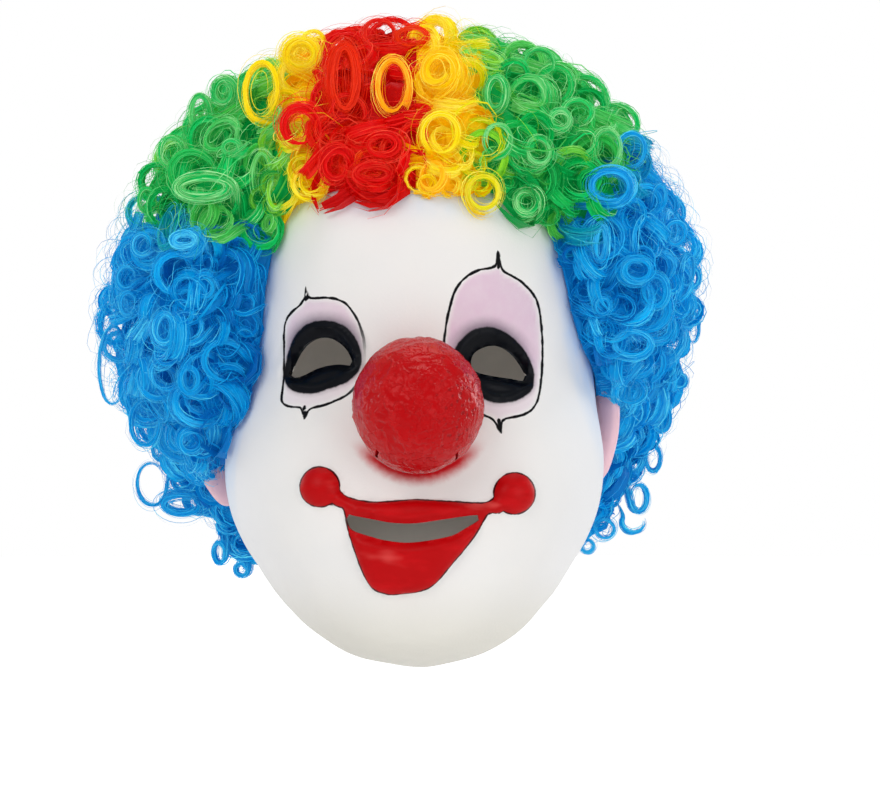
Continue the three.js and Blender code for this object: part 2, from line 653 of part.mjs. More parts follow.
function wig() {
  const clear = united([headCore(seam), earFlap(-1, leftEarDrop, 1), earFlap(1, rightEarDrop, 1)]);
  const dense = backing();
  const ringlets = curls();
  return blocks.map(({ name, look, tier, from, to }, i) => {
    const others = [clear, besideTier(-tier)];
    if (from) others.push(besideParting(from, -1));
    if (to) others.push(besideParting(to, 1));
    const solid = others.reduce((left, other) => left.subtract(other), united([dense, ...ringlets[i]]));
    return { name, look, solid: wholeBody(solid) };
  });
}

function meshOf(name, solid, look) {
  const { vertProperties, triVerts } = solid.getMesh();
  const geometry = new THREE.BufferGeometry();
  geometry.setAttribute("position", new THREE.BufferAttribute(new Float32Array(vertProperties), 3));
  geometry.setIndex(new THREE.BufferAttribute(new Uint32Array(triVerts), 1));
  geometry.computeVertexNormals();
  const mesh = new THREE.Mesh(geometry, look);
  mesh.name = name;
  return mesh;
}

const mask = new THREE.Group();
mask.add(meshOf("mask_shell", maskShell(), latex));
mask.add(meshOf("nose", nose(), nosePaint));
for (const { name, look, solid } of wig()) mask.add(meshOf(name, solid, look));

export default mask;
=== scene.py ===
import math
import bpy
import bmesh
import numpy as np
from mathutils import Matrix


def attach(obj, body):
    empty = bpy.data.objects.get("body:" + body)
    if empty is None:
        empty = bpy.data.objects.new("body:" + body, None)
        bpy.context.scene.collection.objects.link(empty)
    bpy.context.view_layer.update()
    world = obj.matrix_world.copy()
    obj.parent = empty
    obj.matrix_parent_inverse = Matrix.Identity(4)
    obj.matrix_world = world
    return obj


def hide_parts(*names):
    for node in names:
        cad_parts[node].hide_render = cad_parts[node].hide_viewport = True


# A clown mask: a painted latex head with a red ball nose and a wig of tight ringlets in blocks of colour.
# The tables are in millimetres, in the part's own frame: the face looks along -Y, and the crown seat is the
# origin. Left and right are as seen from in front.
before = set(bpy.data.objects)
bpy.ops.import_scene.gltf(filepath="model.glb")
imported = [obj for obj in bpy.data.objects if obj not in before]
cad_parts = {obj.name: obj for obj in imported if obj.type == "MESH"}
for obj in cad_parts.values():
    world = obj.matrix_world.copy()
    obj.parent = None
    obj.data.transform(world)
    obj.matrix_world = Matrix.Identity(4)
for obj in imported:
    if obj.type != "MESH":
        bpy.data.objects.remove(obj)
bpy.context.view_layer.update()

MM = 0.001
CHANCE = np.random.default_rng(20)
WELD = 1e-6

# Latex head
MASK_HEIGHT = 237.0
LEFT_WIDTH, RIGHT_WIDTH = 80.0, 78.0
FACE_REACH, BACK_REACH = 94.0, 110.0
LATEX_WALL = 2.0
OUTER_TOP = LATEX_WALL
OUTER_HEIGHT = MASK_HEIGHT + LATEX_WALL
SOCKET_DEPTH, CHEEK_RISE = 6.0, 6.0
LIP_RISE, LIP_ROLL = 4.0, 5.0
LIP_BALL_RISE = 5.5
FRONT_LIMIT = -20.0
HEAD_CENTRE = np.array((0.0, 0.0, -110.0))

# Ball nose
NOSE_CENTRE = np.array((1.0, -104.7, -133.0))
NOSE_HALF = np.array((26.0, 26.0, 27.0))
NOSE_WALL = 2.0
NOSE_SEAT = 0.3
NOSE_HOLE = 16.0

# Wig
HAIR_LEFT, HAIR_RIGHT, HAIR_TOP, HAIR_BOTTOM = 142.0, 131.0, 30.0, 236.0
HAIR_FRONT, HAIR_BACK, HAIR_HEART = 111.0, 142.0, 110.0
HAIR_HANG, RIGHT_HANG = 6.0, 0.3
TO_HEART = np.array((0.0, 0.0, HAIR_HEART))
NECK_WIDE, NECK_DEEP, NECK_TOP = 60.0, 72.0, -165.0

# Sections of the head from crown to rim: drops as shares of the outer height, then shares of the half width,
# the face's reach and the back's reach, and how boxy the section is.
SECTIONS = np.array([
    # front, side, back, width, face, rear, square
    (0.008, 0.008, 0.008, 0.26, 0.25, 0.22, 2.0),
    (0.047, 0.047, 0.047, 0.54, 0.52, 0.5, 2.0),
    (0.121, 0.12, 0.121, 0.77, 0.75, 0.74, 2.05),
    (0.22, 0.215, 0.215, 0.88, 0.88, 0.88, 2.1),
    (0.345, 0.335, 0.32, 0.93, 0.94, 0.965, 2.15),
    (0.455, 0.44, 0.425, 0.94, 0.95, 1.0, 2.2),
    (0.565, 0.55, 0.525, 0.955, 0.955, 0.99, 2.3),
    (0.67, 0.645, 0.62, 0.985, 0.965, 0.945, 2.45),
    (0.77, 0.725, 0.7, 0.97, 0.98, 0.87, 2.5),
    (0.87, 0.785, 0.76, 0.91, 0.97, 0.79, 2.4),
    (0.955, 0.83, 0.8, 0.83, 0.91, 0.73, 2.25),
    (1.0, 0.855, 0.83, 0.77, 0.74, 0.69, 2.15),
    (0.98, 0.865, 0.845, 0.71, 0.53, 0.655, 2.1),
])

# Bumps and dents of the face: place and half sizes as shares of the half width, down as one of the height.
RELIEF = (
    # x, down, across, tall, rise
    (-0.47, 0.487, 0.27, 0.24, -SOCKET_DEPTH),
    (0.42, 0.49, 0.27, 0.24, -SOCKET_DEPTH),
    (-0.66, 0.672, 0.38, 0.4, CHEEK_RISE),
    (0.66, 0.66, 0.38, 0.4, CHEEK_RISE),
    (0.0, 0.785, 0.42, 0.3, CHEEK_RISE / 2),
    (0.06, 0.945, 0.36, 0.16, CHEEK_RISE / 2),
)

# Where the hair ends and where the blue begins, as shares of the height, by the turn from straight ahead.
HAIRLINE = np.array([
    # turn, left, right, blue left, blue right
    (0, 0.2, 0.2, 0.29, 0.29),
    (25, 0.2, 0.205, 0.29, 0.29),
    (42, 0.225, 0.23, 0.285, 0.28),
    (51, 0.3, 0.3, 0.275, 0.255),
    (58, 0.53, 0.41, 0.265, 0.21),
    (66, 0.61, 0.47, 0.25, 0.15),
    (80, 0.64, 0.515, 0.22, 0.085),
    (96, 0.67, 0.57, 0.21, 0.075),
    (108, 0.79, 0.75, 0.21, 0.11),
    (135, 0.82, 0.81, 0.23, 0.2),
    (180, 0.86, 0.86, 0.25, 0.25),
])

# Partings: where each crosses the front hairline, as a share of the half width, and its lean to the left.
GREEN_YELLOW_LEFT, YELLOW_RED = (-0.68, 0.14), (-0.52, 0.0)
RED_YELLOW, YELLOW_GREEN_RIGHT = (0.0, 0.0), (0.36, 0.06)
PARTING_FRONT = 75.0

# Outlines on the face, as x and z.
LEFT_EYE_HOLE = (
    (-51.1, -121.6), (-50.4, -118.4), (-48.1, -113.4), (-44.9, -109.3), (-41.2, -107.0), (-37.1, -106.1),
    (-33.5, -106.6), (-29.8, -108.8), (-27.0, -112.0), (-25.4, -115.7), (-25.9, -117.2), (-30.7, -116.8),
    (-35.3, -117.3), (-39.9, -118.6), (-43.5, -120.4), (-47.2, -121.9),
)
RIGHT_EYE_HOLE = (
    (21.9, -116.2), (22.8, -112.9), (25.6, -110.7), (29.2, -109.5), (32.4, -109.5), (36.1, -110.7),
    (39.7, -113.4), (42.9, -117.5), (44.8, -121.1), (45.0, -123.2), (42.0, -123.3), (37.9, -122.5),
    (33.3, -121.9), (28.8, -121.1), (25.1, -120.2), (22.6, -118.8),
)
LEFT_EYE_LINE = (
    (-43.7, -86.5), (-43.3, -89.2), (-41.9, -90.3), (-37.5, -90.2), (-32.9, -90.5), (-29.4, -91.8),
    (-26.9, -93.7), (-23.1, -99.3), (-20.8, -106.6), (-20.4, -114.0), (-21.6, -121.0), (-24.5, -126.2),
    (-28.1, -129.4), (-32.3, -131.4), (-36.5, -133.0), (-41.6, -134.3), (-43.2, -135.6), (-44.4, -138.2),
    (-45.3, -136.0), (-46.3, -134.0), (-49.8, -133.8), (-52.5, -133.0), (-54.0, -130.9), (-53.7, -126.6),
    (-53.1, -121.4), (-53.3, -110.2), (-53.1, -101.7), (-51.9, -98.1), (-50.1, -95.7), (-46.7, -93.0),
    (-44.8, -90.6), (-44.1, -88.6),
)
RIGHT_EYE_LINE = (
    (32.8, -71.2), (32.5, -75.0), (31.9, -77.6), (29.0, -78.6), (25.2, -79.3), (20.0, -82.1), (16.0, -86.9),
    (13.4, -94.5), (11.8, -102.9), (11.0, -112.0), (12.0, -122.0), (15.5, -130.0), (20.4, -134.6),
    (27.0, -137.0), (30.4, -138.6), (32.0, -140.8), (33.6, -144.0), (33.9, -141.6), (34.3, -139.4),
    (36.1, -138.3), (42.5, -137.0), (46.9, -134.2), (49.3, -128.8), (50.5, -120.2), (50.9, -109.4),
    (50.1, -98.5), (48.5, -91.3), (45.7, -86.9), (41.3, -83.1), (36.6, -80.6), (34.4, -78.8), (33.5, -75.6),
)
LEFT_EYE_BLACK = (
    (-52.9, -119.0), (-51.4, -111.5), (-48.9, -105.6), (-44.1, -100.9), (-37.7, -99.3), (-30.5, -100.5),
    (-25.7, -104.1), (-22.4, -110.0), (-21.7, -116.6), (-23.9, -121.0), (-28.5, -124.4), (-34.9, -126.6),
    (-41.3, -128.4), (-48.9, -127.6), (-52.5, -124.0),
)
RIGHT_EYE_BLACK = (
    (15.2, -111.4), (20.0, -105.1), (25.2, -102.3), (31.6, -102.3), (38.1, -105.6), (43.7, -111.4),
    (46.9, -118.2), (47.3, -123.4), (45.7, -127.8), (40.1, -131.2), (33.6, -132.2), (28.4, -131.2),
    (21.6, -126.0), (16.4, -118.0),
)
MOUTH_HOLE = (
    (-27.6, -176.2), (-23.8, -176.8), (-17.3, -178.0), (-9.2, -179.4), (-0.3, -179.6), (8.7, -178.4),
    (16.8, -177.2), (22.8, -176.5), (25.6, -176.6), (25.0, -178.5), (19.2, -182.0), (14.4, -184.5),
    (4.6, -186.5), (-3.5, -187.3), (-11.6, -186.5), (-18.1, -184.9), (-22.2, -183.7), (-25.4, -182.4),
    (-26.9, -180.4),
)
LIPS = (
    (-31.0, -166.6), (-29.1, -167.4), (-27.9, -168.6), (-24.6, -169.9), (-17.3, -171.1), (-8.4, -170.7),
    (-0.3, -170.1), (7.9, -170.5), (17.6, -171.1), (25.7, -171.5), (29.4, -170.7), (31.6, -169.1),
    (35.0, -170.4), (35.1, -173.9), (33.0, -176.0), (29.8, -175.7), (28.4, -176.4), (26.5, -179.6),
    (24.1, -183.7), (20.0, -189.3), (15.2, -195.0), (11.1, -199.9), (7.9, -203.5), (3.0, -206.4),
    (-3.5, -207.6), (-10.8, -208.0), (-16.5, -206.0), (-19.3, -202.7), (-21.8, -197.5), (-23.8, -191.8),
    (-25.8, -186.1), (-27.2, -181.0), (-28.0, -176.6), (-28.8, -174.0), (-31.0, -173.2), (-33.5, -171.0),
)
LIP_BALLS = ((-38.0, -165.4, 8.1), (39.1, -168.0, 8.4))
EYE_TIPS = (
    # foot x and z, point x and z, half width at the foot
    (-43.9, -90.6, -44.0, -85.2, 1.0), (-44.5, -134.0, -44.4, -138.6, 0.95),
    (33.1, -78.4, 32.8, -70.6, 0.8), (33.0, -139.0, 33.7, -144.6, 0.8),
)


def linear(red, green, blue):
    """A colour as the eye sees it on a screen, turned into the values a shader works in."""
    return tuple(((c + 0.055) / 1.055) ** 2.4 if c > 0.04 else c / 12.92 for c in (red, green, blue)) + (1.0,)


def smooth(t):
    s = np.clip(t, 0.0, 1.0)
    return s * s * (3 - 2 * s)


def unit(v):
    return v / np.maximum(np.linalg.norm(v, axis=-1, keepdims=True), 1e-9)


def ridge(distance, shape):
    """A soft ridge along a line: shape is its height, how far from the line it lies, and its spread."""
    height, middle, spread = shape
    return height * np.exp(-(((distance - middle) / spread) ** 2))


def through(a, b, c, d, t):
    """A smooth curve from b to c, at the shares t of the way, with a before and d after them."""
    return b + 0.5 * t * (c - a + t * (2 * a - 5 * b + 4 * c - d + t * (3 * (b - c) + d - a)))


def last_place(holds, low, high, rounds):
    """The last place between low and high where a test still holds, and the first where it doesn't."""
    for _ in range(rounds):
        middle = (low + high) / 2
        yes = holds(middle)
        low, high = np.where(yes, middle, low), np.where(yes, high, middle)
    return low, high


def along_rows(column, at):
    """A column of the sections between its rows, on a smooth curve through them."""
    rows = SECTIONS[:, column]
    last = len(rows) - 1
    i = np.clip(np.floor(at), 0, last - 1).astype(int)
    return through(*(rows[np.clip(i + k, 0, last)] for k in (-1, 0, 1, 2)), at - i)


def plain_head(turn, level):
    """The head before its relief. turn is the angle from straight ahead, and level runs from crown to rim."""
    at = level * (len(SECTIONS) - 1)
    power = 2 / along_rows(6, at)
    across = np.sign(np.sin(turn)) * np.abs(np.sin(turn)) ** power
    ahead = np.sign(np.cos(turn)) * np.abs(np.cos(turn)) ** power
    half = np.where(across < 0, LEFT_WIDTH, RIGHT_WIDTH) * along_rows(3, at)
    reach = np.where(ahead > 0, FACE_REACH * along_rows(4, at), BACK_REACH * along_rows(5, at))
    side = along_rows(1, at)
    end = np.where(ahead > 0, along_rows(0, at), along_rows(2, at))
    drop = side + (end - side) * np.abs(np.cos(turn)) ** 1.6
    return np.stack((across * half, -ahead * reach, OUTER_TOP - drop * OUTER_HEIGHT), -1)


SMALL_STEP = 1e-3


def outward(surface, turn, level):
    """The way out of a surface that is given by turn and level."""
    step = SMALL_STEP
    down = surface(turn, np.minimum(level + step, 1)) - surface(turn, np.maximum(level - step, 0))
    around = surface(turn + step, level) - surface(turn - step, level)
    return unit(np.cross(down, around))


def head(turn, level):
    """The outside of the head with its sockets, cheeks and chin."""
    point = plain_head(turn, level)
    rise = np.zeros(point.shape[:-1])
    for x, down, across, tall, height in RELIEF:
        half = LEFT_WIDTH if x < 0 else RIGHT_WIDTH
        dx = (point[..., 0] - x * half) / (across * half)
        dz = (point[..., 2] + down * MASK_HEIGHT) / (tall * half)
        rise += height * np.exp(-dx * dx - dz * dz)
    rise *= smooth(-point[..., 1] / (FACE_REACH / 2))
    return point + outward(plain_head, turn, level) * rise[..., None]


def face_depth(x, z):
    """How far forward the face lies behind points of the front view."""
    turn = np.zeros_like(x)
    level = np.full_like(x, 0.5)
    step = SMALL_STEP
    for _ in range(24):
        here = head(turn, level)
        by_turn = (head(turn + step, level) - here) / step
        by_level = (head(turn, level + step) - here) / step
        det = by_turn[..., 0] * by_level[..., 2] - by_level[..., 0] * by_turn[..., 2]
        dx, dz = x - here[..., 0], z - here[..., 2]
        turn = turn + 0.8 * (dx * by_level[..., 2] - dz * by_level[..., 0]) / det
        level = level + 0.8 * (dz * by_turn[..., 0] - dx * by_turn[..., 2]) / det
        turn = np.clip(turn, -math.pi / 2, math.pi / 2)
        level = np.clip(level, 0, 0.97)
    return head(turn, level)[..., 1]


def rounded(outline, steps=5):
    """A smooth closed curve through the points of an outline."""
    p = np.array(outline)
    a, b, c, d = np.roll(p, 1, 0), p, np.roll(p, -1, 0), np.roll(p, -2, 0)
    t = (np.arange(steps) / steps)[:, None, None]
    return through(a, b, c, d, t).transpose(1, 0, 2).reshape(-1, 2)


def inside_by(outline, x, z):
    """Distance of points to a closed outline, below zero inside it."""
    a = outline
    b = np.roll(outline, -1, 0)
    p = np.stack((x, z), -1)
    best = np.full(x.shape, 1e9)
    inside = np.zeros(x.shape, bool)
    for (ax, az), (bx, bz) in zip(a, b):
        ex, ez = bx - ax, bz - az
        wx, wz = p[..., 0] - ax, p[..., 1] - az
        t = np.clip((wx * ex + wz * ez) / (ex * ex + ez * ez + 1e-12), 0, 1)
        best = np.minimum(best, (wx - ex * t) ** 2 + (wz - ez * t) ** 2)
        if az != bz:
            crosses = (az > p[..., 1]) != (bz > p[..., 1])
            inside ^= crosses & (p[..., 0] < ex * (p[..., 1] - az) / (bz - az) + ax)
    return np.where(inside, -1, 1) * np.sqrt(best)


CURVES = {name: rounded(points) for name, points in {
    "left hole": LEFT_EYE_HOLE, "right hole": RIGHT_EYE_HOLE, "left line": LEFT_EYE_LINE,
    "right line": RIGHT_EYE_LINE, "left black": LEFT_EYE_BLACK, "right black": RIGHT_EYE_BLACK,
    "mouth": MOUTH_HOLE, "lips": LIPS,
}.items()}


def to_curve(name):
    return lambda x, z: inside_by(CURVES[name], x, z)


def to_pair(kind, x, z):
    """Distance to the nearer of the left and right outlines of one kind."""
    return np.minimum(inside_by(CURVES["left " + kind], x, z), inside_by(CURVES["right " + kind], x, z))


def to_tips(x, z):
    """Distance to the pointed ends of the eye lines, below zero within the ink."""
    best = np.full(x.shape, 30.0)
    for fx, fz, px, pz, half in EYE_TIPS:
        ex, ez = px - fx, pz - fz
        t = np.clip(((x - fx) * ex + (z - fz) * ez) / (ex * ex + ez * ez), 0, 1)
        best = np.minimum(best, np.hypot(x - fx - ex * t, z - fz - ez * t) - half * (1 - 0.65 * t))
    return best


def to_lips(x, z):
    best = inside_by(CURVES["lips"], x, z)
    for bx, bz, radius in LIP_BALLS:
        best = np.minimum(best, np.hypot(x - bx, z - bz) - radius)
    return best


def to_nose_hole(x, z):
    return np.hypot(x - NOSE_CENTRE[0], z - NOSE_CENTRE[2]) - NOSE_HOLE


def ripple(points, size, seed, waves=14):
    """Soft unevenness of about one, from waves that cross in many directions, each about size long."""
    dice = np.random.default_rng(seed)
    total = np.zeros(points.shape[:-1])
    for _ in range(waves):
        way = unit(dice.normal(size=3)) * (2 * math.pi / size) * dice.uniform(0.6, 1.5)
        total += np.sin(points @ way + dice.uniform(0, 2 * math.pi))
    return total / math.sqrt(waves)


def select_only(piece):
    bpy.ops.object.select_all(action="DESELECT")
    piece.select_set(True)
    bpy.context.view_layer.objects.active = piece


def apply_modifier(piece, kind, **settings):
    select_only(piece)
    modifier = piece.modifiers.new(kind.title(), kind)
    for name, value in settings.items():
        setattr(modifier, name, value)
    bpy.ops.object.modifier_apply(modifier=modifier.name)


def added(name, primitive, **settings):
    """A new piece, made by one of Blender's own primitives."""
    bpy.ops.object.select_all(action="DESELECT")
    primitive(**settings)
    piece = bpy.context.object
    piece.name = piece.data.name = name
    return piece


def grid_piece(name, columns, rows):
    """A flat grid to be drawn over a surface, and where each vertex is across and down it, from 0 to 1."""
    piece = added(name, bpy.ops.mesh.primitive_grid_add, x_subdivisions=columns, y_subdivisions=rows, size=1)
    at = places(piece)
    return piece, at[:, 0] + 0.5, 0.5 - at[:, 1]


def numbers_of(items, key):
    numbers = np.empty(len(items), np.int32)
    items.foreach_get(key, numbers)
    return numbers


def vectors_of(items, key):
    vectors = np.empty(len(items) * 3, np.float32)
    items.foreach_get(key, vectors)
    return vectors.reshape(-1, 3).astype(float)


def places(piece):
    return vectors_of(piece.data.vertices, "co")


def inward_of(piece):
    return vectors_of(piece.data.attributes["inward"].data, "vector")


def set_places(piece, at):
    piece.data.vertices.foreach_set("co", np.asarray(at, np.float32).ravel())
    piece.data.update()


def keep_values(piece, name, values):
    """Keeps a number or a vector for each vertex of a piece."""
    values = np.asarray(values, np.float32)
    kind, key = ("FLOAT", "value") if values.ndim == 1 else ("FLOAT_VECTOR", "vector")
    piece.data.attributes.new(name, kind, "POINT").data.foreach_set(key, values.ravel())


def weld(piece):
    select_only(piece)
    bpy.ops.object.mode_set(mode="EDIT")
    bpy.ops.mesh.select_all(action="SELECT")
    bpy.ops.mesh.remove_doubles(threshold=WELD)
    bpy.ops.mesh.normals_make_consistent(inside=False)
    bpy.ops.object.mode_set(mode="OBJECT")


def face_outwards(piece, centre):
    """Turns the faces round if most of them look at the centre."""
    faces = piece.data.polygons
    if ((vectors_of(faces, "center") - centre) * vectors_of(faces, "normal")).sum() < 0:
        piece.data.flip_normals()


def faces_of(mesh):
    """The corners of all faces of a mesh, and where each face starts among them and how many it has."""
    corners = numbers_of(mesh.loops, "vertex_index").astype(np.int64)
    return corners, numbers_of(mesh.polygons, "loop_start"), numbers_of(mesh.polygons, "loop_total")


def cut_openings(piece, openings):
    """Cuts openings given as distance fields of x and z. Vertices just inside an edge move on to it first."""
    at = places(piece) / MM
    way = -inward_of(piece)
    loops, starts, counts = faces_of(piece.data)
    owner = np.repeat(np.arange(len(starts)), counts)
    dropped = np.zeros(len(starts), bool)
    front = at[:, 1] < FRONT_LIMIT
    step = 0.05
    for field in openings:
        gap = np.where(front, field(at[:, 0], at[:, 2]), 9.0)
        inner = gap < 0
        inside_corners = np.bincount(owner, inner[loops], len(starts))
        dropped |= inside_corners == counts
        on_edge = np.zeros(len(at), bool)
        on_edge[loops[((inside_corners > 0) & (inside_corners < counts))[owner]]] = True
        on_edge &= inner
        x, z, n = at[on_edge, 0], at[on_edge, 2], way[on_edge]
        gx = (field(x + step, z) - field(x - step, z)) / (2 * step)
        gz = (field(x, z + step) - field(x, z - step)) / (2 * step)
        dx, dz = -gap[on_edge] * gx, -gap[on_edge] * gz
        at[on_edge, 0] += dx
        at[on_edge, 2] += dz
        at[on_edge, 1] -= (n[:, 0] * dx + n[:, 2] * dz) / np.minimum(n[:, 1], -0.3)
    set_places(piece, at * MM)
    work = bmesh.new()
    work.from_mesh(piece.data)
    work.faces.ensure_lookup_table()
    bmesh.ops.delete(work, geom=[work.faces[i] for i in np.flatnonzero(dropped)], context="FACES")
    work.to_mesh(piece.data)
    work.free()


def give_wall(piece, wall):
    """Adds the inside of a cast skin, with its own material, and the cut edges between the two."""
    points = places(piece)
    many = len(points)
    inside = points + inward_of(piece) * wall
    loops, starts, counts = faces_of(piece.data)
    order = np.arange(len(loops))
    start, count = np.repeat(starts, counts), np.repeat(counts, counts)
    after = loops[start + (order - start + 1) % count]
    turned = loops[2 * start + count - 1 - order]
    rim = ~np.isin(loops * many + after, after * many + loops)
    a, b = loops[rim], after[rim]
    edge = np.stack((b, a, a + many, b + many), -1)
    old = piece.data
    piece.data = new_mesh(piece.name, np.concatenate((points, inside)),
                          np.concatenate((loops, turned + many, edge.ravel())),
                          np.concatenate((counts, counts, np.full(len(edge), 4))))
    bpy.data.meshes.remove(old)
    piece.data.name = piece.name
    skin = np.zeros(len(piece.data.polygons), np.int32)
    skin[len(counts):2 * len(counts)] = 1
    piece.data.polygons.foreach_set("material_index", skin)
    return many


def new_mesh(name, points, loops, totals):
    """A mesh of smooth faces, from its points, the corners of all faces and how many each face has."""
    mesh = bpy.data.meshes.new(name)
    mesh.vertices.add(len(points))
    mesh.vertices.foreach_set("co", points.astype(np.float32).ravel())
    mesh.loops.add(len(loops))
    mesh.loops.foreach_set("vertex_index", loops.astype(np.int32))
    mesh.polygons.add(len(totals))
    starts = np.concatenate(((0,), np.cumsum(totals)[:-1])).astype(np.int32)
    mesh.polygons.foreach_set("loop_start", starts)
    mesh.polygons.foreach_set("use_smooth", np.ones(len(totals), bool))
    mesh.update(calc_edges=True)
    return mesh


def crowded(count, centre, spread, gain):
    """Steps from 0 to 1 that lie closer together around the centre."""
    t = np.linspace(0, 1, 2001)
    thick = 1 + gain * np.exp(-(((t - centre) / spread) ** 2))
    sum_to = np.concatenate(((0,), np.cumsum((thick[1:] + thick[:-1]) / 2)))
    return np.interp(np.linspace(0, 1, count), sum_to / sum_to[-1], t)


# Latex head
HEAD_COLUMNS, HEAD_ROWS, CROWN_ROWS = 184, 190, 6
FRONT_CROWDING = 0.6
LID_ROLL, LOWER_LID, HOLE_DIP = (1.5, -1.9, 1.3), (1.1, 3.4, 2.2), (-1.4, 0.0, 1.5)
LOWER_LID_TOP = -112.0
CHIN_PATCH, CHIN_PATCH_HALF, CREASE_DEPTH = (-2.0, -222.0), (16.0, 7.0), 0.35
SKIN_RIPPLE = (0.25, 26, 5)


def rippled(points, height, size, seed):
    return height * ripple(points, size, seed)


def eye_relief(x, z):
    """The rolled edge of the black eye, its lower lid, and the skin drawn in at the hole."""
    hole = to_pair("hole", x, z)
    lower = ridge(hole, LOWER_LID) * smooth((LOWER_LID_TOP - z) / 6)
    return ridge(to_pair("black", x, z), LID_ROLL) + lower + ridge(hole, HOLE_DIP)


def lip_relief(x, z):
    deep = -to_lips(x, z)
    opening = inside_by(CURVES["mouth"], x, z)
    roll = np.sqrt(np.clip(1 - (1 - np.clip(deep / LIP_ROLL, 0, 1)) ** 2, 0, 1))
    rise = LIP_RISE * roll * (0.35 + 0.65 * smooth(opening / 2.6))
    for bx, bz, radius in LIP_BALLS:
        share = np.hypot(x - bx, z - bz) / radius
        rise = np.maximum(rise, LIP_BALL_RISE * np.sqrt(np.clip(1 - share ** 2, 0, 1)) ** 1.2)
    return rise * (deep > 0)


def chin_creases(x, z):
    """Fine wrinkles of the latex on the chin."""
    (px, pz), (across, tall) = CHIN_PATCH, CHIN_PATCH_HALF
    patch = np.exp(-(((x - px) / across) ** 2) - (((z - pz) / tall) ** 2))
    return -CREASE_DEPTH * patch * np.abs(np.sin(0.9 * z + 0.35 * x + 1.4 * np.sin(0.4 * x)))


def latex_head():
    """The outside of the head with its relief and openings, then its wall."""
    piece, across, down = grid_piece("latex_head", HEAD_COLUMNS, HEAD_ROWS)
    s = (across * 2 - 1) * math.pi
    turn = s - FRONT_CROWDING * np.sin(s)
    row = down * HEAD_ROWS
    level = np.interp(row, np.arange(HEAD_ROWS - CROWN_ROWS + 1) + CROWN_ROWS,
                      crowded(HEAD_ROWS - CROWN_ROWS + 1, 0.52, 0.2, 1.2))
    at = head(turn, level)
    x, z = at[:, 0], at[:, 2]
    ahead = smooth((FRONT_LIMIT - at[:, 1]) / 20)
    rise = (eye_relief(x, z) + lip_relief(x, z) + chin_creases(x, z)) * ahead
    rise += rippled(at, *SKIN_RIPPLE) * ahead
    at = at + outward(head, turn, level) * rise[:, None]
    crown = np.clip(row / CROWN_ROWS, 0, 1)
    closing = crown < 1
    at[closing, 0] *= crown[closing]
    at[closing, 1] *= crown[closing]
    at[closing, 2] = OUTER_TOP + (at[closing, 2] - OUTER_TOP) * crown[closing] ** 2
    set_places(piece, at * MM)
    way = -outward(head, turn, np.maximum(level, 0.004))
    way[closing] = unit(way[closing] * crown[closing][:, None] + (0, 0, -1) * (1 - crown[closing])[:, None])
    keep_values(piece, "inward", way)
    weld(piece)
    face_outwards(piece, HEAD_CENTRE * MM)
    cut_openings(piece, (to_curve("left hole"), to_curve("right hole"), to_curve("mouth"), to_nose_hole))
    paint_guides(piece, give_wall(piece, LATEX_WALL * MM))
    return piece


def paint_guides(piece, many):
    """Distances in millimetres that the paint follows, kept on the vertices: those of the outside, then those
    of the inside. A guide of the front has one value behind."""
    at = places(piece)[:many] / MM
    x, z = at[:, 0], at[:, 2]
    front = at[:, 1] < FRONT_LIMIT
    line = to_pair("line", x, z)
    turn = turn_of(x, at[:, 1])
    to_hair = (hair_height(turn, 1, 2) - z) / (1 + 3 * smooth((np.abs(turn) - 0.75) / 0.3))
    ball = np.hypot((x - NOSE_CENTRE[0]) / NOSE_HALF[0], (z - NOSE_CENTRE[2]) / NOSE_HALF[2])
    pink = np.where(x > 0, 1.0, 0.75) * smooth(-line / 2.5) * (0.45 + 0.55 * smooth((z + 132) / 22))
    guides = {
        "lips": (to_lips(x, z), 30), "eye_line": (line, 30), "eye_tips": (to_tips(x, z), 30),
        "eye_ink": (1 - 0.9 * np.exp(-(((x + 21.5) / 5) ** 2) - (((z + 115) / 8) ** 2)), 1),
        "eye_black": (to_pair("black", x, z), 30), "above_eye": (smooth((z + 118) / 16), 0),
        "eye_pink": (pink, 0), "nose_ring": ((ball - 1) * NOSE_HALF[2], 30),
        "below_nose": (smooth((-146 - z) / 9), 0),
        "lime_corner": (smooth((z + 78) / 24) * smooth((np.abs(x) - 28) / 20), 0),
    }
    for name, (values, behind) in guides.items():
        keep_values(piece, name, np.tile(np.where(front, values, behind), 2))
    # to_side and to_chin guide the painted shade of the sides and the chin, and near_hair the painted glow
    # from the hair.
    all_round = {
        "to_side": smooth((np.abs(x + 1) - 40) / 38), "near_hair": 1 - smooth(to_hair / 16),
        "to_chin": smooth((-196 - z) / 36) * smooth((20 - at[:, 1]) / 60),
    }
    for name, values in all_round.items():
        keep_values(piece, name, np.tile(values, 2))


# Ball nose
NOSE_COLUMNS, NOSE_ROWS = 108, 70
NOSE_LUMPS, NOSE_BUMPS, NOSE_WRINKLES = (0.22, 15, 11), (0.17, 6, 12), (3.6, 13)
SLIT_SIZE = (4.2, 16.0, 1.3)
SLITS = (
    # x, z, tilt, turn
    (-15.2, -152.0, -38, -25),
    (16.6, -153.0, 38, 25),
)


def on_ball(turn, lean):
    """Points of the ball by the turn round its middle and the lean from straight ahead."""
    way = np.stack((np.sin(lean) * np.cos(turn), -np.cos(lean), np.sin(lean) * np.sin(turn)), -1)
    return NOSE_CENTRE + NOSE_HALF * way


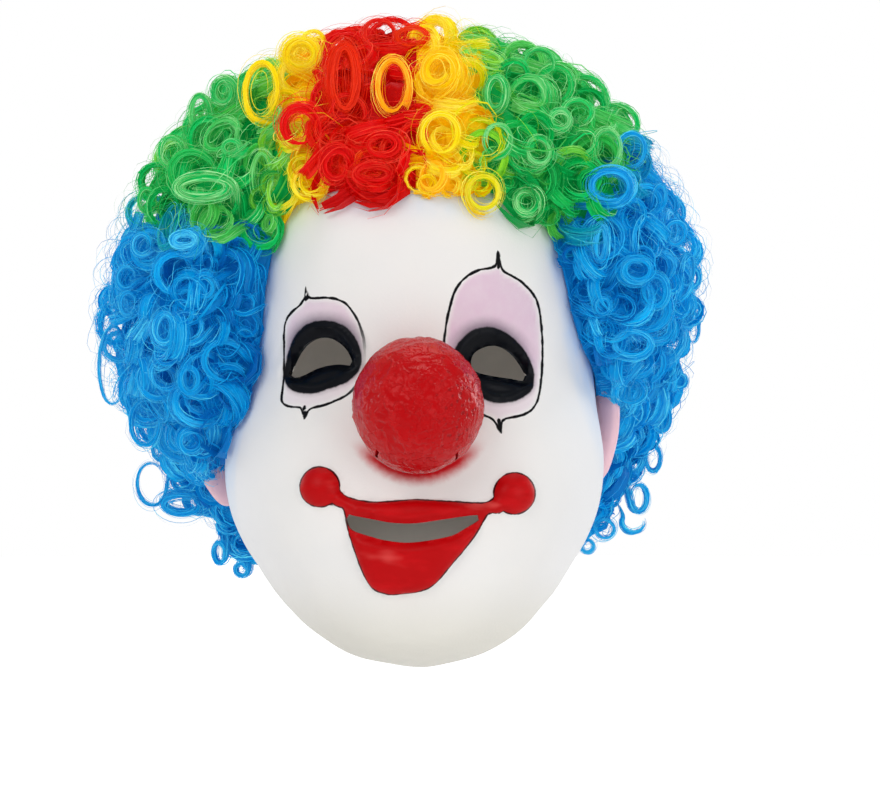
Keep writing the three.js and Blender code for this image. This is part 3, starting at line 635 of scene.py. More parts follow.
def ball_nose():
    """A hollow ball, open behind where it rests on the face, with two slits below."""
    piece, across, down = grid_piece("ball_nose", NOSE_COLUMNS, NOSE_ROWS)
    turns = np.linspace(0, 2 * math.pi, NOSE_COLUMNS * 2 + 1)

    def clear_of_face(lean):
        p = on_ball(turns, lean)
        return p[:, 1] < face_depth(p[:, 0], p[:, 2]) - NOSE_SEAT - LATEX_WALL / 4

    rim, _ = last_place(clear_of_face, np.full(turns.shape, 1.2), np.full(turns.shape, 2.7), 16)
    turn = across * 2 * math.pi
    at = on_ball(turn, down * np.interp(turn, turns, rim))
    rough = rippled(at, *NOSE_LUMPS) + rippled(at, *NOSE_BUMPS) + 0.16 * np.abs(ripple(at, *NOSE_WRINKLES))
    at = at + unit(at - NOSE_CENTRE) * (rough * smooth((1 - down) / 0.12) - 0.3)[:, None]
    set_places(piece, at * MM)
    weld(piece)
    face_outwards(piece, NOSE_CENTRE * MM)
    apply_modifier(piece, "SOLIDIFY", thickness=NOSE_WALL * MM, offset=-1)
    for x, z, tilt, turned in SLITS:
        dx, dz = (x - NOSE_CENTRE[0]) / NOSE_HALF[0], (z - NOSE_CENTRE[2]) / NOSE_HALF[2]
        y = NOSE_CENTRE[1] - NOSE_HALF[1] * math.sqrt(max(1 - dx ** 2 - dz ** 2, 0.02))
        slit = added("slit", bpy.ops.mesh.primitive_cube_add, size=1, location=(x * MM, y * MM, z * MM),
                     rotation=(0, math.radians(tilt), math.radians(turned)),
                     scale=tuple(size * MM for size in SLIT_SIZE))
        apply_modifier(piece, "BOOLEAN", object=slit, operation="DIFFERENCE", solver="EXACT")
        bpy.data.objects.remove(slit)
    return piece


# Ears
EAR_HEIGHT, EAR_WIDTH, EAR_THICKNESS, EAR_PLACE, EAR_LEAN = 50.0, 30.0, 8.0, 2.0, 8.0
EAR_RIM, EAR_FOLD = (1.6, 0.83, 0.1), (1.1, 0.52, 0.09)
EARS = (
    # name, side, drop, flare, seat
    ("ear_left", -1, 151.0, 50.0, 1.03),
    ("ear_right", 1, 141.0, 24.0, 0.985),
)


def ear(name, side, drop, turned, seat):
    """A flap of latex with a rolled rim, a bowl and a lobe, tucked into the side of the head."""
    piece = added(name, bpy.ops.mesh.primitive_uv_sphere_add, segments=56, ring_count=36, radius=1)
    at = places(piece)
    out, back, up = at[:, 0] * side, at[:, 1], at[:, 2]
    share = np.clip(np.hypot(back, up), 0, 1)
    narrow = 1 + 0.1 * up - 0.16 * smooth(-up)
    rim = ridge(share, EAR_RIM) * (0.35 + 0.65 * smooth((back + 0.9) / 0.9))
    fold = ridge(np.hypot(back + 0.1, up - 0.05), EAR_FOLD) * smooth((back + 0.3) / 0.4)
    bowl = -3.1 * np.exp(-(((back + 0.12) / 0.34) ** 2) - (((up - 0.02) / 0.36) ** 2))
    thick = EAR_THICKNESS / 2 * np.sign(out) * np.abs(out) ** 0.8 + (rim + fold + bowl) * (out > 0)
    local = np.stack((side * thick, back * EAR_WIDTH / 2 * narrow, up * EAR_HEIGHT / 2), -1)
    half = seat * (LEFT_WIDTH if side < 0 else RIGHT_WIDTH)
    a, b = math.radians(EAR_LEAN), math.radians(side * turned)
    lean = np.array(((1, 0, 0), (0, math.cos(a), -math.sin(a)), (0, math.sin(a), math.cos(a))))
    flare = np.array(((math.cos(b), -math.sin(b), 0), (math.sin(b), math.cos(b), 0), (0, 0, 1)))
    set_places(piece, (local @ (flare @ lean).T + (side * half, EAR_PLACE, -drop)) * MM)
    weld(piece)
    return piece


# Wig
REACH_ROUND, REACH_UP, LEAST_REACH = 120, 60, 30


def turn_of(x, y):
    """The angle from straight ahead, with the head's width and reach taken out."""
    half, reach = np.where(x < 0, LEFT_WIDTH, RIGHT_WIDTH), np.where(y < 0, FACE_REACH, BACK_REACH)
    return np.arctan2(x / half, -y / reach)


def hair_height(turn, left, right):
    degrees = np.minimum(np.abs(np.degrees(turn)), 180)
    rows = HAIRLINE[:, 0]
    return -MASK_HEIGHT * np.where(turn < 0, np.interp(degrees, rows, HAIRLINE[:, left]),
                                   np.interp(degrees, rows, HAIRLINE[:, right]))


def level_at(turn, z):
    """The level at which the plain head is as low as z."""
    def above(level):
        return plain_head(turn, level)[..., 2] > z

    return last_place(above, np.zeros_like(turn), np.ones_like(turn), 20)[0]


def hair_point(turn, share, fill):
    """A point of the wig over the head: share runs from -1 over the crown to 0 where its sides start and 1 at
    the hairline, and fill from the head out to the curls."""
    down = np.maximum(share, 0)
    base = head(turn, down * level_at(turn, hair_height(turn, 1, 2)))
    d = base + TO_HEART
    rx = np.where(d[..., 0] < 0, HAIR_LEFT, HAIR_RIGHT)
    ry = np.where(d[..., 1] < 0, HAIR_FRONT, HAIR_BACK)
    rz = np.where(d[..., 2] < 0, HAIR_BOTTOM - HAIR_HEART, HAIR_TOP + HAIR_HEART)
    ratio = np.maximum(1 / np.sqrt((d[..., 0] / rx) ** 2 + (d[..., 1] / ry) ** 2 + (d[..., 2] / rz) ** 2), 1)
    depth = (ratio - 1) * fill * (0.4 + 0.6 * smooth((1 - share) / 0.3))
    d = d * (1 + depth[..., None])
    far = np.linalg.norm(d, axis=-1, keepdims=True)
    closing = np.clip(1 + share, 0, 1)[..., None]
    d = unit(d * np.concatenate((closing, closing, np.ones_like(closing)), -1)) * far
    behind = smooth((np.abs(turn) - math.pi / 2) / 0.35)
    d[..., 2] -= HAIR_HANG * np.where(turn < 0, 1, RIGHT_HANG) * down ** 4 * behind
    return d - TO_HEART


def slope_of(d):
    return d[..., 2] / np.hypot(d[..., 0], d[..., 1])


def hair_toward(aim, fill):
    """Points of the wig in directions from its heart, and whether hair grows there."""
    turn = turn_of(aim[:, 0], aim[:, 1])
    slope = slope_of(aim)

    def above(share):
        return slope_of(hair_point(turn, share, fill) + TO_HEART) > slope

    low, high = last_place(above, -np.ones_like(turn), np.ones_like(turn), 18)
    return hair_point(turn, low, fill), high < 0.995


def parting_x(parting, y):
    start, lean = parting
    return start * (LEFT_WIDTH if start < 0 else RIGHT_WIDTH) - lean * (y + PARTING_FRONT)


BLUE_BACK = 45.0
WIG_BLOCKS = ("red", "yellow_left", "yellow_right", "green_left", "green_right", "blue_left", "blue_right",
              "blue_back")
YELLOWS, GREENS, FIRST_BLUE = (1, 2), (3, 4), 5


def block_of(point):
    """The block of colour that each point of the wig belongs to, as its number in WIG_BLOCKS."""
    x, y, z = point[..., 0], point[..., 1], point[..., 2]
    blue = z <= hair_height(turn_of(x, y), 3, 4)
    top = np.select(
        [x < parting_x(GREEN_YELLOW_LEFT, y), x < parting_x(YELLOW_RED, y), x < parting_x(RED_YELLOW, y),
         x < parting_x(YELLOW_GREEN_RIGHT, y)], [3, 1, 0, 2], 4)
    return np.where(blue, np.where(y > BLUE_BACK, 7, np.where(x < 0, 5, 6)), top)


# Rings of a ringlet: how much they narrow after the first turn, how far apart they lie, the share of length
# that is its root and how deep that sinks, and how far a lock stays off the head, in half thicknesses.
RING_SHRINK, RING_PITCH, ROOT_SHARE, ROOT_SINK, LOCK_ROOM = 0.3, 1.5, 0.2, 0.9, 0.7


def rings_of_hair(c, s):
    """Centre lines of ringlets that rise from the wig and roll up, at the shares s of their length."""
    axis, out, lock, turns = c["axis"], c["out"], c["lock"], c["turns"]
    up = unit(c["upright"] - (c["upright"] * axis).sum(-1, keepdims=True) * axis)
    side = np.cross(axis, up)
    start = np.arctan2(-(out * side).sum(-1), -(out * up).sum(-1))
    angle = start[:, None] + c["hand"][:, None] * (2 * math.pi * turns[:, None] * s - 0.5)
    shrink = 1 - RING_SHRINK * s * smooth((turns[:, None] - 1) / 0.5)
    path = c["middle"][:, None] + up[:, None] * (np.cos(angle) * c["tall"][:, None] * shrink)[..., None]
    path += side[:, None] * (np.sin(angle) * c["wide"][:, None] * shrink)[..., None]
    path += axis[:, None] * ((s - 0.4) * turns[:, None] * lock[:, None] * RING_PITCH)[..., None]
    sink = np.clip(1 - s / ROOT_SHARE, 0, 1) ** 2
    path -= out[:, None] * (sink * (c["wide"] + lock)[:, None] * ROOT_SINK)[..., None]
    return keep_off_head(path, lock[:, None] * LOCK_ROOM)


def reach_cell(d):
    """Where a way from the wig's heart falls in the table of the head's reach, round it and up."""
    around = (np.arctan2(d[..., 0], -d[..., 1]) / (2 * math.pi) + 0.5) * REACH_ROUND
    return around, (np.arctan2(d[..., 2], np.hypot(d[..., 0], d[..., 1])) / math.pi + 0.5) * REACH_UP


def head_reach_table():
    """How far the head reaches from the wig's heart, by the way round it and the way up."""
    turn, level = np.meshgrid(np.linspace(-math.pi, math.pi, 721), np.linspace(0, 1, 361))
    d = head(turn, level) + TO_HEART
    around, up = (cell.astype(int) for cell in reach_cell(d))
    table = np.zeros((REACH_ROUND, REACH_UP))
    np.maximum.at(table, (around % REACH_ROUND, np.minimum(up, REACH_UP - 1)), np.linalg.norm(d, axis=-1))
    return table


def keep_off_head(points, clearance):
    """Moves points that would lie inside the head or its neck opening straight out of it."""
    inward = np.hypot(points[..., 0] / NECK_WIDE, points[..., 1] / NECK_DEEP)
    wider = np.where(points[..., 2] < NECK_TOP, np.maximum(1 / np.maximum(inward, 0.05), 1), 1)
    points = points * np.stack((wider, wider, np.ones_like(wider)), -1)
    d = points + TO_HEART
    around, up = reach_cell(d)
    u, v = around - 0.5, np.clip(up - 0.5, 0, REACH_UP - 1.001)
    i, j = np.floor(u).astype(int), v.astype(int)
    a, b = (u - i), (v - j)

    def at(di, dj):
        return HEAD_REACH[(i + di) % REACH_ROUND, j + dj]

    reach = (at(0, 0) * (1 - a) + at(1, 0) * a) * (1 - b) + (at(0, 1) * (1 - a) + at(1, 1) * a) * b
    far = np.linalg.norm(d, axis=-1)
    grown = np.where(reach > LEAST_REACH, np.maximum((reach + clearance) / np.maximum(far, 1), 1), 1)
    return d * grown[..., None] - TO_HEART


def mesh_of(name, parts):
    """One piece from several sets of vertices and faces, with the values that its hair carries."""
    points = np.concatenate([part["points"] for part in parts]) * MM
    base = np.cumsum([0] + [len(part["points"]) for part in parts])
    walls = np.concatenate([part["walls"] + start for part, start in zip(parts, base)])
    piece = bpy.data.objects.new(name, new_mesh(name, points, walls.ravel(), np.full(len(walls), 4)))
    bpy.context.scene.collection.objects.link(piece)
    for key in ("light_shade", "along", "warmth", "grain"):
        keep_values(piece, key, np.concatenate([part[key] for part in parts]))
    return piece


def hair_part(paths, facing, width, s, light_shade, warmth, offset):
    """Flat hairs along many paths, all of equally many points. facing is the way that each point of a hair
    faces, and width half its width. along runs from root to tip, and the third part of grain in mm."""
    many, steps = paths.shape[:2]
    ahead = unit(np.gradient(paths, axis=1))
    broad = unit(np.cross(facing, ahead)) * width[..., None]
    points = np.stack((paths - broad, paths + broad), 2)
    index = np.arange(many * steps * 2).reshape(many, steps, 2)
    here, after = index[:, :-1], index[:, 1:]
    walls = np.stack((here[..., 0], after[..., 0], after[..., 1], here[..., 1]), -1).reshape(-1, 4)
    step_length = np.linalg.norm(np.diff(paths, axis=1), axis=-1)
    run = np.concatenate((np.zeros((many, 1)), np.cumsum(step_length, 1)), 1)
    grain = np.empty((many, steps, 2, 3))
    grain[..., 0] = offset[:, None, None] + np.stack((-width, width), -1)
    grain[..., 1] = offset[:, None, None] * 0.37
    grain[..., 2] = run[:, :, None]

    def spread(value):
        return np.broadcast_to(value, (many, steps, 2)).ravel()

    return {
        "points": points.reshape(-1, 3), "walls": walls, "grain": grain.reshape(-1, 3),
        "light_shade": spread(light_shade[:, None, None]), "warmth": spread(warmth[:, None, None]),
        "along": spread(s[..., None]),
    }


# Hairs of a ringlet: how far they spread from its lock, in half thicknesses, the share of them that stray and
# how much further, how much painted light lightens them, and how far they stay off the head.
SPILL, STRAY_SHARE, STRAY_SPILL, LIFT, HAIR_ROOM = 0.8, 0.12, 2.4, 0.2, 0.6
GRAIN_SPREAD = 900


def lock_hairs(c, count, steps, half_width):
    """Hairs of ringlets from a table of their places and sizes, count for each, going round side by side."""
    h = {key: np.repeat(value, count, axis=0) for key, value in c.items()}
    many = len(h["middle"])
    loose = np.where(CHANCE.uniform(size=many) < STRAY_SHARE, STRAY_SPILL, 1.0)
    near = CHANCE.uniform(-1, 1, many)
    sideways = CHANCE.uniform(-1, 1, many)
    h["wide"] = h["wide"] + h["lock"] * near * SPILL * loose
    h["tall"] = h["tall"] + h["lock"] * near * SPILL * loose
    h["middle"] = h["middle"] + h["axis"] * (h["lock"] * sideways * SPILL * 1.9)[:, None]
    h["axis"] = unit(h["axis"] + CHANCE.normal(0, 0.09, (many, 3)) * loose[:, None])
    h["turns"] = h["turns"] * CHANCE.uniform(0.82, 1.08, many)
    s = np.linspace(0, 1, steps)
    path = rings_of_hair(h, s)
    facing = unit(path - h["middle"][:, None])
    beat, phase = CHANCE.uniform(0.8, 2.2, (many, 1)), CHANCE.uniform(0, 1, (many, 1))
    wave = h["lock"][:, None] * 0.2 * loose[:, None] * np.sin(2 * math.pi * (s * beat + phase))
    path = keep_off_head(path + facing * wave[..., None], HAIR_ROOM)
    roll = np.where(np.abs(sideways) > 0.75, 1.2 * np.sign(sideways), 0) + CHANCE.normal(0, 0.45, many)
    facing = facing * np.cos(roll)[:, None, None] + h["axis"][:, None] * np.sin(roll)[:, None, None]
    taper = CHANCE.uniform(0.7, 1.3, (many, 1))
    slim = half_width * taper * (1 - 0.65 * s ** 3) * (0.35 + 0.65 * smooth(s / 0.12))
    light_shade = np.clip(h["light_shade"] + CHANCE.normal(LIFT, 0.2, many), -0.6, 1.3)
    return hair_part(path, facing, slim, s, light_shade, h["warmth"], CHANCE.uniform(0, GRAIN_SPREAD, many))


BAND_SHADE = 0.25


def lock_bands(c, steps, bands):
    """The body of ringlets: broad bands of hair that go round, some facing outwards and some the ends."""
    s = np.linspace(0, 1, steps)
    parts = []
    for sideways, near, roll, share in bands:
        h = dict(c)
        h["middle"] = c["middle"] + c["axis"] * (c["lock"] * sideways)[:, None]
        h["wide"], h["tall"] = c["wide"] + c["lock"] * near, c["tall"] + c["lock"] * near
        path = rings_of_hair(h, s)
        facing = unit(path - h["middle"][:, None])
        facing = facing * math.cos(roll) + c["axis"][:, None] * math.sin(roll)
        body = c["lock"][:, None] * share
        width = body * (1 - 0.85 * smooth((s - 0.72) / 0.28)) * (0.3 + 0.7 * smooth(s / 0.15))
        offset = CHANCE.uniform(0, GRAIN_SPREAD, len(path))
        parts.append(hair_part(path, facing, width, s, c["light_shade"] - BAND_SHADE, c["warmth"], offset))
    return parts


# Bands of a ringlet: how far along its axis and out from its ring, in half thicknesses of the lock, how far
# each is turned from facing outwards, and its half width.
FULL_BANDS = (
    # sideways, near, roll, share
    (-0.8, 0.0, 0.3, 0.5), (0.0, 0.2, 0.0, 0.55), (0.8, 0.0, -0.3, 0.5), (-1.1, 0.0, -1.35, 0.45),
    (1.1, 0.0, 1.35, 0.45),
)
FEW_BANDS = ((-0.6, 0.1, 0.35, 0.8), (0.6, 0.1, -0.35, 0.8), (0.0, 0.0, 1.4, 0.5))


def ringlets(c, steps, bands, hairs, half_width):
    """Ringlets from a table of their places and sizes."""
    if not len(c["middle"]):
        return []
    return lock_bands(c, steps, bands) + [lock_hairs(c, hairs, steps, half_width)]


LOOSE_FILL, LOOSE_SIZE, LOOSE_STEPS, LOOSE_WIDTH, LOOSE_WAVE = 0.92, 7.0, 12, 0.13, 1.6


def loose_hairs(count, seed):
    """Single hairs that curl over the ringlets, as one set for each block."""
    c = spread_ringlets(count, LOOSE_FILL, LOOSE_SIZE, seed)
    s = np.linspace(0.25, 1, LOOSE_STEPS)
    path = rings_of_hair(c, s)
    many = len(path)
    dice = np.random.default_rng(seed + 1)
    wave = np.sin(2 * math.pi * (s * dice.uniform(1, 3, (many, 1)) + dice.uniform(0, 1, (many, 1))))
    path = keep_off_head(path + c["axis"][:, None] * (wave * LOOSE_WAVE)[..., None], HAIR_ROOM)
    facing = unit(path - c["middle"][:, None] + c["axis"][:, None] * dice.normal(0, 4, (many, 1, 1)))
    width = np.broadcast_to(LOOSE_WIDTH * (1 - 0.6 * s), path.shape[:2])
    made = []
    for block in range(len(WIG_BLOCKS)):
        mine = c["block"] == block
        offset = dice.uniform(0, GRAIN_SPREAD, mine.sum())
        made.append(hair_part(path[mine], facing[mine], width[mine], np.full(LOOSE_STEPS, 0.8),
                              c["light_shade"][mine], c["warmth"][mine], offset))
    return made


# Ringlets that stand out on the front, read off the photograph. The middle and the half sizes are in its
# pixels. EYE is the place it is seen from, in mm, and PHOTO_REACH its distance in pixels.
EYE = np.array((9.6, -1500.0, -131.0))
PHOTO_MIDDLE = (440.0, 400.0)
PHOTO_REACH = 3562.0
FRONT_RINGLETS = {
    # across, down, half width, half height, half thickness of the lock in mm, turns, light, warm
    "yellow_left": (
        (262, 92, 22, 36, 1.9, 1.15, 0.5, 0.0), (301, 54, 24, 23, 3.2, 1.3, 0.6, 0.2),
        (313, 42, 14, 14, 1.2, 1.0, 0.9, 0.0),
    ),
    "red": (
        (343, 80, 24, 46, 3.8, 1.3, 0.3, 0.5), (301, 125, 25, 26, 3.0, 1.15, 0.35, 0.2),
        (384, 146, 26, 20, 2.8, 1.4, 0.3, 0.2), (337, 163, 22, 24, 3.2, 1.3, 0.2, 0.1),
        (372, 174, 24, 15, 2.6, 1.2, 0.25, 0.1), (379, 34, 19, 17, 1.3, 1.0, 0.7, 0.0),
        (412, 36, 20, 13, 1.6, 1.2, 0.5, 0.6),
    ),
    "yellow_right": (
        (393, 87, 22, 35, 2.0, 1.3, 0.6, 1.0), (445, 74, 28, 30, 4.6, 1.3, 0.5, 0.55),
        (440, 133, 24, 26, 2.2, 1.15, 0.6, 0.3), (434, 178, 18, 21, 2.0, 1.25, 0.5, 0.7),
        (483, 193, 22, 23, 2.0, 1.3, 0.8, -0.5),
    ),
    "green_right": (
        (498, 141, 17, 20, 1.3, 1.05, 0.95, 0.1), (497, 94, 15, 22, 1.6, 1.3, 0.9, 0.1),
        (539, 63, 17, 16, 1.1, 0.9, 0.5, 0.1), (577, 113, 18, 16, 1.7, 0.9, 0.6, 0.0),
        (607, 149, 17, 23, 1.4, 1.2, 0.9, 0.1), (537, 152, 18, 20, 1.6, 1.4, 0.95, 0.1),
        (527, 204, 20, 21, 2.6, 1.5, 0.8, 0.3), (560, 120, 16, 16, 1.8, 1.4, 0.9, 0.1),
    ),
    "green_left": (
        (206, 188, 34, 17, 2.4, 1.25, 1.0, 0.2), (200, 113, 15, 24, 2.0, 1.3, 0.7, 0.0),
        (226, 92, 18, 20, 2.4, 1.4, 0.7, 0.0), (172, 152, 17, 20, 1.8, 1.3, 0.8, 0.0),
        (147, 200, 11, 15, 1.2, 1.0, 0.5, 0.0), (232, 147, 12, 11, 1.4, 1.3, 0.9, 0.1),
        (262, 178, 13, 28, 1.5, 0.8, 0.8, 0.5), (275, 195, 10, 18, 1.4, 0.9, 0.8, 0.9),
    ),
    "blue_right": (
        (631, 150, 17, 20, 1.5, 1.0, 0.5, 0.1), (611, 187, 29, 25, 3.0, 1.3, 0.5, 0.2),
        (659, 197, 9, 14, 1.1, 1.0, 0.5, 0.1), (675, 232, 13, 15, 1.3, 1.1, 0.5, 0.1),
        (600, 242, 12, 24, 2.6, 1.2, 0.7, 0.3), (634, 271, 25, 21, 3.0, 1.4, 0.3, 0.2),
        (632, 344, 27, 20, 2.2, 1.6, 0.6, 0.3), (602, 305, 12, 13, 1.8, 1.2, 0.2, 0.1),
        (687, 269, 9, 18, 0.8, 0.9, 0.6, 0.1), (693, 327, 8, 17, 0.9, 0.9, 0.6, 0.1),
        (679, 381, 11, 11, 1.2, 1.3, 0.6, 0.3), (661, 418, 13, 17, 1.5, 1.2, 0.6, 0.3),
        (653, 458, 11, 17, 1.5, 1.2, 0.6, 0.3), (638, 498, 13, 18, 1.8, 1.1, 0.6, 0.3),
        (633, 522, 15, 14, 1.4, 0.7, 0.6, 0.3), (605, 529, 12, 12, 1.2, 1.1, 0.7, 0.4),
        (588, 546, 9, 9, 1.2, 1.2, 0.7, 0.4), (655, 290, 18, 22, 2.2, 1.3, 0.4, 0.1),
    ),
    "blue_left": (
        (113, 365, 16, 41, 0.8, 0.95, 0.7, 0.2), (146, 422, 19, 27, 1.4, 1.1, 0.6, 0.2),
        (152, 484, 17, 24, 1.0, 1.0, 0.7, 0.3), (182, 503, 24, 15, 2.4, 1.1, 0.6, 0.3),
        (126, 278, 12, 14, 1.2, 1.0, 0.6, 0.2), (128, 304, 10, 14, 1.1, 1.0, 0.6, 0.2),
        (142, 245, 13, 15, 1.5, 1.1, 0.9, 0.3), (220, 552, 11, 16, 1.8, 1.3, 0.6, 0.3),
        (242, 569, 11, 11, 1.8, 1.3, 0.6, 0.3), (187, 240, 20, 14, 2.4, 1.4, 1.0, 0.4),
        (165, 330, 18, 24, 2.6, 1.4, 0.5, 0.2), (205, 285, 16, 18, 2.0, 1.4, 0.4, 0.1),
        (190, 380, 16, 20, 2.0, 1.4, 0.3, 0.1), (190, 440, 18, 18, 2.2, 1.4, 0.3, 0.2),
    ),
}


def front_depth(x, z, fill, reach):
    """How far forward the curls lie, seen from in front."""
    turn, share = np.meshgrid(np.linspace(-math.pi, math.pi, 361), np.linspace(-0.9, 1, 120))
    surface = hair_point(turn, share, fill).reshape(-1, 3)
    depth = np.empty(len(x))
    for k in range(len(x)):
        gap = np.hypot(surface[:, 0] - x[k], surface[:, 2] - z[k])
        depth[k] = surface[gap < max(gap.min() + 2, reach[k]), 1].min()
    return depth


FRONT_FILL = 0.86


def front_ringlets():
    """The ringlets of the chart, moved along their line of sight to where the curls lie."""
    rows = [row for rows in FRONT_RINGLETS.values() for row in rows]
    across, down, wide, tall, lock, turns, light, warm = np.array(rows, float).T
    pixel = -EYE[1] / PHOTO_REACH
    x = np.round(EYE[0] + (across - PHOTO_MIDDLE[0]) * pixel, 1)
    z = np.round(EYE[2] - (down - PHOTO_MIDDLE[1]) * pixel, 1)
    wide, tall = np.round(wide * pixel, 1), np.round(tall * pixel, 1)
    seen = np.stack((x, np.zeros_like(x), z), -1)
    middle = seen
    for _ in range(3):
        depth = front_depth(middle[:, 0], middle[:, 2], FRONT_FILL, 0.6 * np.minimum(wide, tall))
        nearer = 1 - depth / EYE[1]
        middle = EYE + (seen - EYE) * nearer[:, None]
    wide, tall = wide * nearer, tall * nearer
    many = len(rows)
    axis = unit(np.array((0.0, -1.0, 0.0)) + CHANCE.normal(0, 0.14, (many, 3)))
    counts = [len(rows) for rows in FRONT_RINGLETS.values()]
    return {
        "block": np.repeat([WIG_BLOCKS.index(name) for name in FRONT_RINGLETS], counts), "middle": middle,
        "out": unit(middle + TO_HEART), "axis": axis, "upright": np.tile((0.0, 0.0, 1.0), (many, 1)),
        "wide": wide - lock, "tall": tall - lock, "lock": lock, "turns": turns,
        "hand": np.where(CHANCE.uniform(size=many) < 0.5, -1.0, 1.0), "light_shade": light, "warmth": warm,
    }


def leaning(out, dice):
    """Axes for ringlets: some look out of the wig and some straight ahead or back, all leaning a little."""
    many = len(out)
    ahead = np.where(out[:, 1:2] > 0, 1.0, -1.0) * (0, 1, 0)
    level = unit(np.where(dice.uniform(size=(many, 1)) < 0.5, ahead, out))
    tilt = dice.normal(0, 0.42, many)
    cross = unit(np.cross(level, dice.normal(size=(many, 3))))
    return unit(level * np.cos(tilt)[:, None] + cross * np.sin(tilt)[:, None])


# How far beside a parting the hair takes on the neighbouring colour.
YELLOW_BLEND, GREEN_BLEND, BLUE_BLEND = 14, 11, 14


def tone_at(point, block, dice):
    """How warm the hair is, warmer above zero and cooler below. Beside a parting it takes on the neighbouring
    colour."""
    x, y, z = point.T
    tone = np.clip(dice.normal(0.28, 0.24, len(point)), 0, 1)
    gap = np.where(x < 0, x - parting_x(GREEN_YELLOW_LEFT, y), parting_x(YELLOW_GREEN_RIGHT, y) - x)
    cooler = 1 - np.clip(gap, 0, YELLOW_BLEND) / YELLOW_BLEND
    tone = np.where(np.isin(block, YELLOWS) & (gap < YELLOW_BLEND), tone - 1.3 * cooler, tone)
    warmer = 1 + np.clip(gap, -GREEN_BLEND, 0) / GREEN_BLEND
    tone = np.where(np.isin(block, GREENS) & (gap > -GREEN_BLEND), tone + 0.8 * warmer, tone)
    fall = hair_height(turn_of(x, y), 3, 4) - z
    cooler = 1 - np.clip(fall, 0, BLUE_BLEND) / BLUE_BLEND
    return np.clip(np.where((block >= FIRST_BLUE) & (fall < BLUE_BLEND), tone - 0.9 * cooler, tone), -1, 1)


def ringlets_at(point, out, size, dice, sunk=0.55, thick=0.28, light=0.6):
    """Ringlets standing at points of the wig. Blue is painted darker beside the face, and green lower down,
    as shade.
    """
    many = len(point)
    radius = size * dice.uniform(0.75, 1.3, many)
    block = block_of(point)
    x, y, z = point.T
    shadow = np.where(block >= FIRST_BLUE, 0.55 * smooth((104 - np.abs(x)) / 30) * smooth(-y / 40), 0)
    shadow = np.where(np.isin(block, GREENS), 0.45 * smooth((-20 - z) / 25), shadow)
    return {
        "block": block, "middle": point - out * (radius * sunk)[:, None], "out": out,
        "axis": leaning(out, dice), "upright": dice.normal(size=(many, 3)),
        "wide": radius, "tall": radius * dice.uniform(0.85, 1.25, many),
        "lock": radius * thick * dice.uniform(0.8, 1.3, many), "turns": dice.uniform(0.9, 1.35, many),
        "hand": np.where(dice.uniform(size=many) < 0.5, -1.0, 1.0),
        "light_shade": np.clip(dice.normal(light, 0.22, many), -0.6, 1) - shadow,
        "warmth": tone_at(point, block, dice),
    }


def spread_ringlets(count, fill, size, seed, **looks):
    """Ringlets spread evenly over the wig, leaning every way."""
    dice = np.random.default_rng(seed)
    i = np.arange(count)
    up = 1 - (2 * i + 1) / count
    flat = np.sqrt(1 - up * up)
    turn = i * math.pi * (3 - math.sqrt(5)) + seed
    even = np.stack((flat * np.sin(turn), -flat * np.cos(turn), up), -1)
    aim = unit(even + dice.normal(0, 0.025, (count, 3)))
    point, grows = hair_toward(aim, fill)
    return ringlets_at(point[grows], aim[grows], size, dice, **looks)


def edge_ringlets(share, fill, spacing, size, seed):
    """Small ringlets in a row along the edge of the hair."""
    dice = np.random.default_rng(seed)
    turn = np.linspace(-math.pi, math.pi, 2400)
    line = hair_point(turn, np.full_like(turn, share), fill)
    run = np.concatenate(((0,), np.cumsum(np.linalg.norm(np.diff(line, axis=0), axis=1))))
    stops = np.arange(spacing / 2, run[-1], spacing) + dice.uniform(-0.25, 0.25) * spacing
    point = np.stack([np.interp(stops, run, line[:, k]) for k in range(3)], -1)
    point += dice.normal(0, 1.2, point.shape)
    return ringlets_at(point, unit(point + TO_HEART), size, dice, 0.1)


def pick(table, keep):
    return {key: value[keep] for key, value in table.items()}


def clear_of(table, others, room):
    """Leaves out ringlets that lie in front of or within those already placed, seen from in front."""
    near = np.zeros(len(table["middle"]), bool)
    for middle, wide, tall in zip(others["middle"], others["wide"], others["tall"]):
        d = table["middle"] - middle
        near |= (d[:, 0] / (wide + room)) ** 2 + (d[:, 2] / (tall + room)) ** 2 + (d[:, 1] / 26) ** 2 < 1
    return pick(table, ~near)


UNDER_COLUMNS, UNDER_ROWS, UNDER_CROWN_ROWS, UNDER_FILL = 150, 62, 5, 0.56
# The dense hair is painted darker, as shade under the ringlets.
UNDER_SHADE, UNDER_WARMTH, UNDER_ALONG = -0.3, 0.2, 0.1


def under_hair():
    """The dense hair under the ringlets, as grids of points outside and inside."""
    turn = np.linspace(-math.pi, math.pi, UNDER_COLUMNS, endpoint=False)
    crown = np.linspace(-0.999, 0, UNDER_CROWN_ROWS, endpoint=False)
    turns, shares = np.meshgrid(turn, np.concatenate((crown, np.linspace(0, 1, UNDER_ROWS))))
    outside = hair_point(turns, shares, UNDER_FILL * (0.25 + 0.75 * smooth((1 - shares) / 0.25)))
    inside = hair_point(turns, shares, 0.0)
    d = unit(outside + TO_HEART)
    outside = outside + d * (rippled(outside, 2.6, 16, 31) + rippled(outside, 1.6, 8, 32))[..., None]
    outside = keep_off_head(outside, 1.0)
    return outside, inside + unit(inside + TO_HEART) * 0.8


